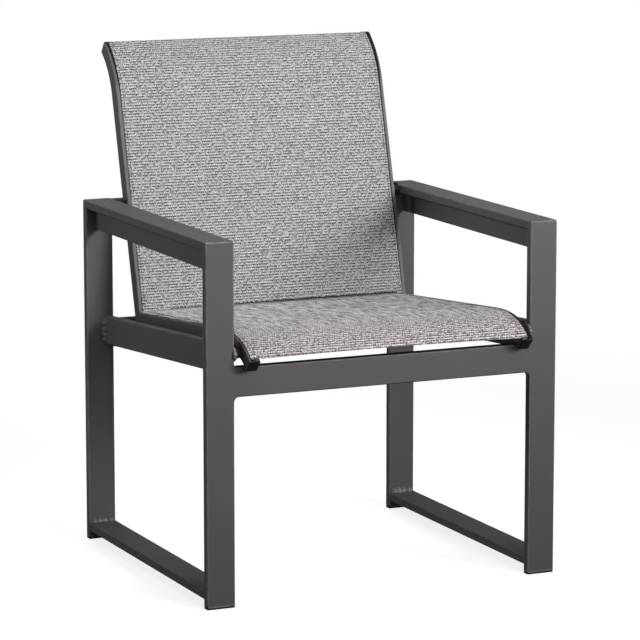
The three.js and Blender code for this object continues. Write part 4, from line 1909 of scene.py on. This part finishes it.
    def _stitch_rows(self, places: Points, along: Points, aside: Points, out: Points) -> Patch:
        """Puts one small capsule at each place.

        Its point (i, j) is the place, plus half the length times the sine of latitude i along it,
        plus the thread's radius times the cosine of latitude i, which is never under the tip's
        share, round it at angle j.

        Args:
            places: Where each stitch lies.
            along: Its direction.
            aside: Across it, in the cloth.
            out: Off the cloth.

        Returns:
            The patch.
        """
        latitude = np.array([-0.5, -0.36, 0.0, 0.36, 0.5]) * np.pi
        angle = np.linspace(0, 2 * np.pi, 6, endpoint=False)[:, None]
        run = (self.stitch_pitch * self.stitch_share * np.sin(latitude))[:, None, None]
        girth = (self.thread_radius * np.maximum(np.cos(latitude), self.stitch_tip))[:, None, None]
        places, along, aside, out = (part[:, None, None] for part in (places, along, aside, out))
        points = places + run * along + girth * (np.cos(angle) * aside + np.sin(angle) * out)
        single = closed_tube(points[0])
        starts = np.arange(len(points)) * len(single.points)
        faces = [[index + start for index in face] for start in starts.tolist() for face in single.faces]
        return Patch(points.reshape(-1, 3), faces)


@dataclass
class Hardware:
    """Bosses, bolts, glides and spreader bars.

    The boss's flare is given as (distance past the leg's face, height above the boss), and the
    glide's neck as the (height above the leg's foot, inset) of its upper rings. The bolt head's
    dome start and its socket's floor are shares of its height, and its crown one of its radius.
    """

    bench: Workbench
    finishes: Finishes
    boss_diameter: float = 0.0159
    boss_bore: float = 0.0034
    boss_bevel: float = 0.0007
    boss_lap: float = 0.0004
    boss_flare: tuple[Range, ...] = (
        (-0.004, 0.0), (-0.0025, 0.0006), (-0.0012, 0.0018), (0.0, 0.0036), (0.0006, 0.0036),
    )
    boss_bead: WeldBead = WeldBead(radius=0.0032, pitch=0.0052, ripple=0.34, wander=0.14)
    weld_setback: float = 0.0006
    weld_stand: float = 0.0012
    bolt_shank: float = 0.003
    bolt_taper: float = 0.0001
    bolt_end: float = 0.001
    bolt_head: float = 0.012
    bolt_head_height: float = 0.0036
    bolt_edge: float = 0.0003
    dome_start: float = 0.25
    crown: float = 0.55
    socket: float = 0.004
    socket_floor: float = 0.35
    spreader: Range = (0.022, 0.010)
    spreader_corner: float = 0.0025
    spreader_depth: float = 0.013
    spreader_bead: WeldBead = WeldBead(radius=0.0022, pitch=0.0026)
    spreader_weld_end: float = 0.002
    search_end: float = 0.05
    search_steps: int = 2000
    glide_rounding: float = 0.0011
    glide_neck: tuple[Range, ...] = ((-0.0003, 0.0), (0.0, 0.0003), (0.0, 0.002), (0.012, 0.0022))

    def build(self) -> None:
        """Builds the small pieces of both sides."""
        for side in Side:
            for end in ("front", "rear"):
                self._mount(side, end)
                self._glide(side, end)
        for name, node, path in (
            ("seat_tension_bar", "seat_spreader", SEAT_PATH),
            ("back_tension_bar", "back_spreader", BACK_PATH),
        ):
            bar = self._spreader(node, path)
            self.bench.make(name, bar, self.finishes.frame, Slot.FRAME, (node,))

    @staticmethod
    def _middle(node: str) -> Points:
        """The middle of a node's box."""
        low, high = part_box(node)
        return np.array((low + high) / 2)

    def _spreader(self, node: str, path: RailPath) -> list[Patch]:
        """A flat tube across the chair behind the cloth, welded to the rails' inner faces.

        It lies as the path does where the path, at the bar's depth, comes nearest to its middle.

        Args:
            node: The node whose place it takes.
            path: The rails' path.

        Returns:
            The bar and its beads.
        """
        middle = self._middle(node) * [0, 1, 1]
        stops = np.linspace(self.search_end, path.length - self.search_end, self.search_steps)
        point, heading, depth = path.at(stops)
        nearest = int(np.linalg.norm(point + depth * self.spreader_depth - middle, axis=1).argmin())
        along, down = heading[nearest], depth[nearest]
        section = rounded_rectangle(*self.spreader, self.spreader_corner)
        ends = [middle + X_AXIS * sign * SIZES.rail_inner for sign in (-1, 1)]
        half = along * (self.spreader[0] / 2 - self.spreader_weld_end)
        face = down * self.spreader[1] / 2
        edges = [end + face * below for end in ends for below in (-1, 1)]
        beads = [
            self.spreader_bead.along(edge - half, edge + half, 300 + number)
            for number, edge in enumerate(edges)
        ]
        return [straight_tube(section, *ends, along, down), *beads]

    def _mount(self, side: Side, end: str) -> None:
        """A boss welded to the frame, and the bolt that holds the rail to it.

        Args:
            side: The chair's side.
            end: Front or rear.
        """
        name, sign = f"{side.prefix}_{end}", side.value
        centre = self._middle(f"{name}_boss") * [0, 1, 1]
        # Bosses take the darker boss coat (painted shade); front boss welds the lighter weld coat (painted
        # highlight), rear ones the boss coat.
        coat = self.finishes.weld if end == "front" else self.finishes.boss
        boss, bolt = (turned(profile * [sign, 1], centre) for profile in (self._boss(), self._bolt()))
        weld = self._boss_weld(side, end, centre)
        make = self.bench.make
        make(f"{name}_weld_boss", [boss], self.finishes.boss, Slot.FRAME, (f"{name}_boss",))
        make(f"{name}_boss_weld", [weld], coat, Slot.FRAME)
        make(f"{name}_socket_bolt", [bolt], self.finishes.steel, Slot.STEEL, (f"{name}_bolt",))

    @property
    def leg_face(self) -> float:
        """X to which the bosses are let into the legs."""
        return SIZES.leg_inner + self.boss_lap

    def _boss(self) -> Points:
        """The boss: a bevel, a straight run and its flare on the leg.

        Returns:
            Its profile, as (X, radius).
        """
        near, radius = SIZES.rail_outer, self.boss_diameter / 2
        bevel = np.array([[0.0, -1.0], [0.3, -0.3], [1.0, 0.0]]) * self.boss_bevel + [near, radius]
        flare = np.array(self.boss_flare) + [self.leg_face, radius]
        return np.vstack([[near, self.boss_bore], bevel, flare, [flare[-1, 0], self.boss_bore]])

    def _boss_weld(self, side: Side, end: str, centre: Points) -> Patch:
        """The bead round a boss's foot.

        Args:
            side: The chair's side.
            end: Front or rear.
            centre: A point on the boss's axis.

        Returns:
            The patch.
        """
        radius = self.boss_diameter / 2 + self.weld_stand
        angle = np.linspace(0, 2 * np.pi, 48, endpoint=False)
        x = np.full(len(angle), side.value * (self.leg_face - self.weld_setback))
        ring = centre + np.stack([x, radius * np.cos(angle), radius * np.sin(angle)], axis=-1)
        return self.boss_bead.follow(ring, 400 + side.value + 2 * (end == "rear"), closed=True)

    def _bolt(self) -> Points:
        """The bolt's profile, as (X, radius).

        The shank runs to the rail's inner face, then come the head's flat side, its dome by a
        quarter turn, and its socket.

        Returns:
            The profile.
        """
        seat, height, edge = SIZES.rail_inner, self.bolt_head_height, self.bolt_edge
        head, socket, shank = self.bolt_head / 2, self.socket / 2, self.bolt_shank
        turn = np.linspace(0, np.pi / 2, 7)
        rise = self.dome_start + (1 - self.dome_start) * np.sin(turn)
        reach = self.crown + (1 - self.crown) * np.cos(turn)
        top, floor = seat - height, seat - height * self.socket_floor
        return np.concatenate([
            [[self.leg_face - self.bolt_end, shank - self.bolt_taper], [seat, shank], [seat, head]],
            np.stack([seat - height * rise, head * reach], axis=-1),
            [[top, socket + edge], [top + edge, socket], [floor, socket]],
        ])

    def _glide(self, side: Side, end: str) -> None:
        """A foot cap, rounded at the floor and let into the leg.

        Its ring i is the leg's outline drawn in by the rounding times one less the cosine of its
        angle, at the height of the rounding times one less the sine.

        Args:
            side: The chair's side.
            end: Front or rear.
        """
        node = f"{side.prefix}_{end}_glide"
        centre = self._middle(node) * [1, 1, 0]
        turn = np.linspace(np.pi / 2, 0, 6)
        rounded = self.glide_rounding * np.stack([1 - np.sin(turn), 1 - np.cos(turn)], axis=-1)
        rings = []
        for height, inset in np.vstack([rounded, np.array(self.glide_neck) + [SIZES.glide_top, 0]]):
            outline, _ = rounded_rectangle(
                SIZES.tube_width - 2 * inset, SIZES.tube_depth - 2 * inset, SIZES.tube_corner,
            )
            rings.append(carry(outline, (centre + Z_AXIS * height)[None], X_AXIS, Y_AXIS)[0])
        patch = closed_tube(np.stack(rings))
        name = f"{side.prefix}_{end}_foot_glide"
        self.bench.make(name, [patch], self.finishes.plastic, Slot.PLASTIC, (node,))


def turn_to(item: Object, place: Vector, direction: Vector) -> None:
    """Puts a camera or a lamp in its place and turns it.

    Args:
        item: The camera or the lamp.
        place: Where it goes.
        direction: The direction in which it looks.
    """
    item.location = place
    item.rotation_mode = "QUATERNION"
    item.rotation_quaternion = direction.to_track_quat("-Z", "Y")


def four_corners(name: str, corners: list, material: Material) -> Object:
    """Makes a flat sheet between four corners.

    Args:
        name: Its name.
        corners: The corners in order.
        material: Its material.

    Returns:
        The sheet's object.
    """
    mesh = bpy.data.meshes.new(name)
    mesh.from_pydata(corners, [], [(0, 1, 2, 3)])
    mesh.materials.append(material)
    return add_object(name, mesh)


@dataclass(frozen=True)
class Softbox:
    """A square lamp with a grid: its side in metres, power in watts and spread in degrees."""

    name: str
    place: Place
    target: Place
    side: float
    power: float
    spread: float
    in_gloss: bool = True

    def hang(self) -> None:
        """Hangs the lamp, out of the camera's sight."""
        data = bpy.data.lights.new(self.name, "AREA")
        data.shape = "SQUARE"
        data.size = self.side
        data.energy = self.power
        data.spread = math.radians(self.spread)
        lamp = add_object(self.name, data)
        turn_to(lamp, Vector(self.place), Vector(self.target) - Vector(self.place))
        lamp.visible_camera = False
        lamp.visible_glossy = self.in_gloss


@dataclass(frozen=True)
class Card:
    """A card that shows only in the frame's gloss, flat along X or Y, at a level of grey."""

    name: str
    centre: Place
    size: Place
    grey: float

    def stand(self) -> None:
        """Stands up the card."""
        signs = np.array([[-1, -1, -1], [1, 1, -1], [1, 1, 1], [-1, -1, 1]])
        corners = np.array(self.centre) + np.array(self.size) / 2 * signs
        material = lay_material(self.name, lambda wiring: wiring.glow(self.grey))
        card = four_corners(self.name, corners.tolist(), material)
        card.visible_camera = card.visible_diffuse = card.visible_shadow = False


@dataclass(frozen=True)
class Studio:
    """Floor, light and camera.

    Between the clear floor's two distances from the chair, the floor goes over from keeping the
    shadow to plain white. The camera's angles are in degrees, its lens and sensor in millimetres.
    """

    azimuth: float = -24.217
    elevation: float = 9.807
    aim: Place = (0.01415, -0.00543, 0.42306)
    distance: float = 6.0996
    lens: float = 193.43
    sensor: float = 36.0
    clip: Range = (0.1, 200.0)
    sky: Colour = (0.01, 0.01, 0.0102, 1.0)
    floor_reach: float = 60.0
    clear_floor: Range = (0.9, 2.2)
    floor_near: Colour = (0.55, 0.55, 0.55, 1.0)
    floor_plain: Colour = colour(100, 100, 100)
    floor_glow: float = 0.8
    floor_in_gloss: float = 0.45
    lamps: tuple[Softbox, ...] = (
        Softbox("key_softbox", (1.2, -2.6, 1.75), (0.0, 0.0, 1.2), 1.6, 11.8, 50.0),
        Softbox("low_softbox", (1.2, -2.6, 1.75), (0.0, 0.0, 0.85), 1.6, 4.1, 60.0),
        Softbox("front_softbox", (-0.3, -3.2, 1.2), (0.0, 0.0, 0.8), 2.0, 8.2, 90.0),
        Softbox("top_softbox", (0.0, 0.1, 2.9), (0.0, 0.0, 0.0), 2.0, 9.0, 120.0),
        Softbox("left_softbox", (-2.9, 0.6, 1.6), (0.2, 0.0, 0.95), 1.4, 3.7, 44.0),
        Softbox("rear_softbox", (0.5, 3.4, 0.7), (0.0, 0.3, 0.8), 1.2, 10.0, 54.0, in_gloss=False),
        Softbox("leg_softbox", (-1.6, -2.4, 0.4), (-0.3, 0.26, 0.22), 0.2, 0.048, 8.0),
    )
    cards: tuple[Card, ...] = (
        Card("left_grey_card", (-1.5, 1.2, 1.1), (0.0, 4.6, 2.2), 0.12),
        Card("rear_black_card", (1.7, 2.4, 0.65), (4.0, 0.0, 1.3), 0.01),
    )

    def build(self) -> None:
        """Builds the studio."""
        self._camera()
        reach = self.floor_reach
        corners = [(-reach, -reach, 0), (reach, -reach, 0), (reach, reach, 0), (-reach, reach, 0)]
        floor = four_corners("studio_floor", corners, lay_material("pale_floor", self._floor_surface))
        self._sky()
        for lamp in self.lamps:
            lamp.hang()
        for card in self.cards:
            card.stand()

    def _camera(self) -> None:
        """Sets the camera at the photograph's angle."""
        turn, rise = math.radians(self.azimuth), math.radians(self.elevation)
        back = Vector((
            math.sin(turn) * math.cos(rise), -math.cos(turn) * math.cos(rise), math.sin(rise),
        ))
        data = bpy.data.cameras.new("camera")
        data.lens = self.lens
        data.sensor_width = self.sensor
        data.clip_start, data.clip_end = self.clip
        camera = add_object("camera", data)
        turn_to(camera, Vector(self.aim) + back * self.distance, -back)
        bpy.context.scene.camera = camera

    def _floor_surface(self, wiring: Wiring) -> Socket:
        """A pale floor: near the chair it keeps the shadow, and further off it is plain white.

        Args:
            wiring: The material's nodes.

        Returns:
            The shader.
        """
        plain = wiring.node("BsdfDiffuse", {"Color": self.floor_plain}).outputs[0]
        lit = wiring.node("BsdfDiffuse", {"Color": self.floor_near}).outputs[0]
        near = wiring.node("AddShader", {0: lit, 1: wiring.glow(self.floor_glow)}).outputs[0]
        place = wiring.node("TexCoord").outputs["Object"]
        away = wiring.node("VectorMath", {0: place}, operation="LENGTH").outputs["Value"]
        share = wiring.blend(away, *self.clear_floor)
        shown = wiring.node("MixShader", {0: share, 1: near, 2: wiring.glow(1.0)}).outputs[0]
        seen = self._background_ray(wiring)
        by_eye = wiring.node("MixShader", {0: seen, 1: plain, 2: shown}).outputs[0]
        in_gloss = wiring.node("LightPath").outputs["Is Glossy Ray"]
        dim = wiring.glow(self.floor_in_gloss)
        return wiring.node("MixShader", {0: in_gloss, 1: by_eye, 2: dim}).outputs[0]

    def _sky(self) -> None:
        """Sets a white backdrop for the camera and a dim, even light for the rest."""
        world = bpy.data.worlds.new("studio")
        world.use_nodes = True
        wiring = Wiring(world.node_tree)
        seen = self._background_ray(wiring)
        dim, white = (
            wiring.node("Background", {"Color": shown, "Strength": 1.0}).outputs[0]
            for shown in (self.sky, WHITE)
        )
        sky = wiring.node("MixShader", {0: seen, 1: dim, 2: white}).outputs[0]
        wiring.node("OutputWorld", {"Surface": sky})
        bpy.context.scene.world = world

    @staticmethod
    def _background_ray(wiring: Wiring) -> Socket:
        """Whether a ray shows the background: from the camera, or by way of a gloss or a clear part.

        Args:
            wiring: The material's or the world's nodes.

        Returns:
            1 for such a ray, 0 for any other.
        """
        rays = wiring.node("LightPath").outputs
        through = wiring.math("MAXIMUM", rays["Is Glossy Ray"], rays["Is Transmission Ray"])
        return wiring.math("MAXIMUM", rays["Is Camera Ray"], through)


def dress_inner_nodes(finishes: Finishes) -> None:
    """Gives the nodes that stay from the part their finish.

    Args:
        finishes: The chair's finishes.
    """
    for name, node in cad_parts.items():
        if name.endswith("_spline"):
            node.data.materials.clear()
            node.data.materials.append(finishes.plastic)


def main() -> None:
    """Builds the chair, then its studio."""
    logging.basicConfig(level=logging.INFO, format="%(name)s: %(message)s")
    bench, finishes = Workbench(), Finishes()
    dress_inner_nodes(finishes)
    for side in Side:
        SideFrame(side, bench, finishes).build()
        SlingRails(side, bench, finishes).build()
    CrossMembers(bench, finishes).build()
    Hardware(bench, finishes).build()
    shared = {
        "bench": bench, "thread": finishes.thread, "plastic": finishes.plastic, "lift": (0.0019, 0.0009),
    }
    Sling(
        "seat_panel", "seat_sling", SEAT_PATH, cloth=finishes.seat_cloth, hem_setback=0.0045,
        overhang=((0.0052, 0.0052), (0.0, 0.0)), tail=-0.002, hem_bow=0.003, stitch_end=0.009, **shared,
    ).build()
    Sling(
        "back_panel", "back_sling", BACK_PATH, cloth=finishes.back_cloth, hem_setback=0.001,
        # The back's black cord at the crease paints the shade of the gap between the panels.
        overhang=((0.0018, 0.0006), (0.0, 0.0)), crease_setback=0.0016, edging=(-0.205, 0.2445),
        stitch_rows=(0.0034,), tack_rows=(0.0079, 0.0124), **shared,
    ).build()
    Studio().build()
    bpy.context.scene.view_settings.view_transform = "Standard"
    log.info("%d pieces made", len(bench.made))


if __name__ == "__main__":
    main()
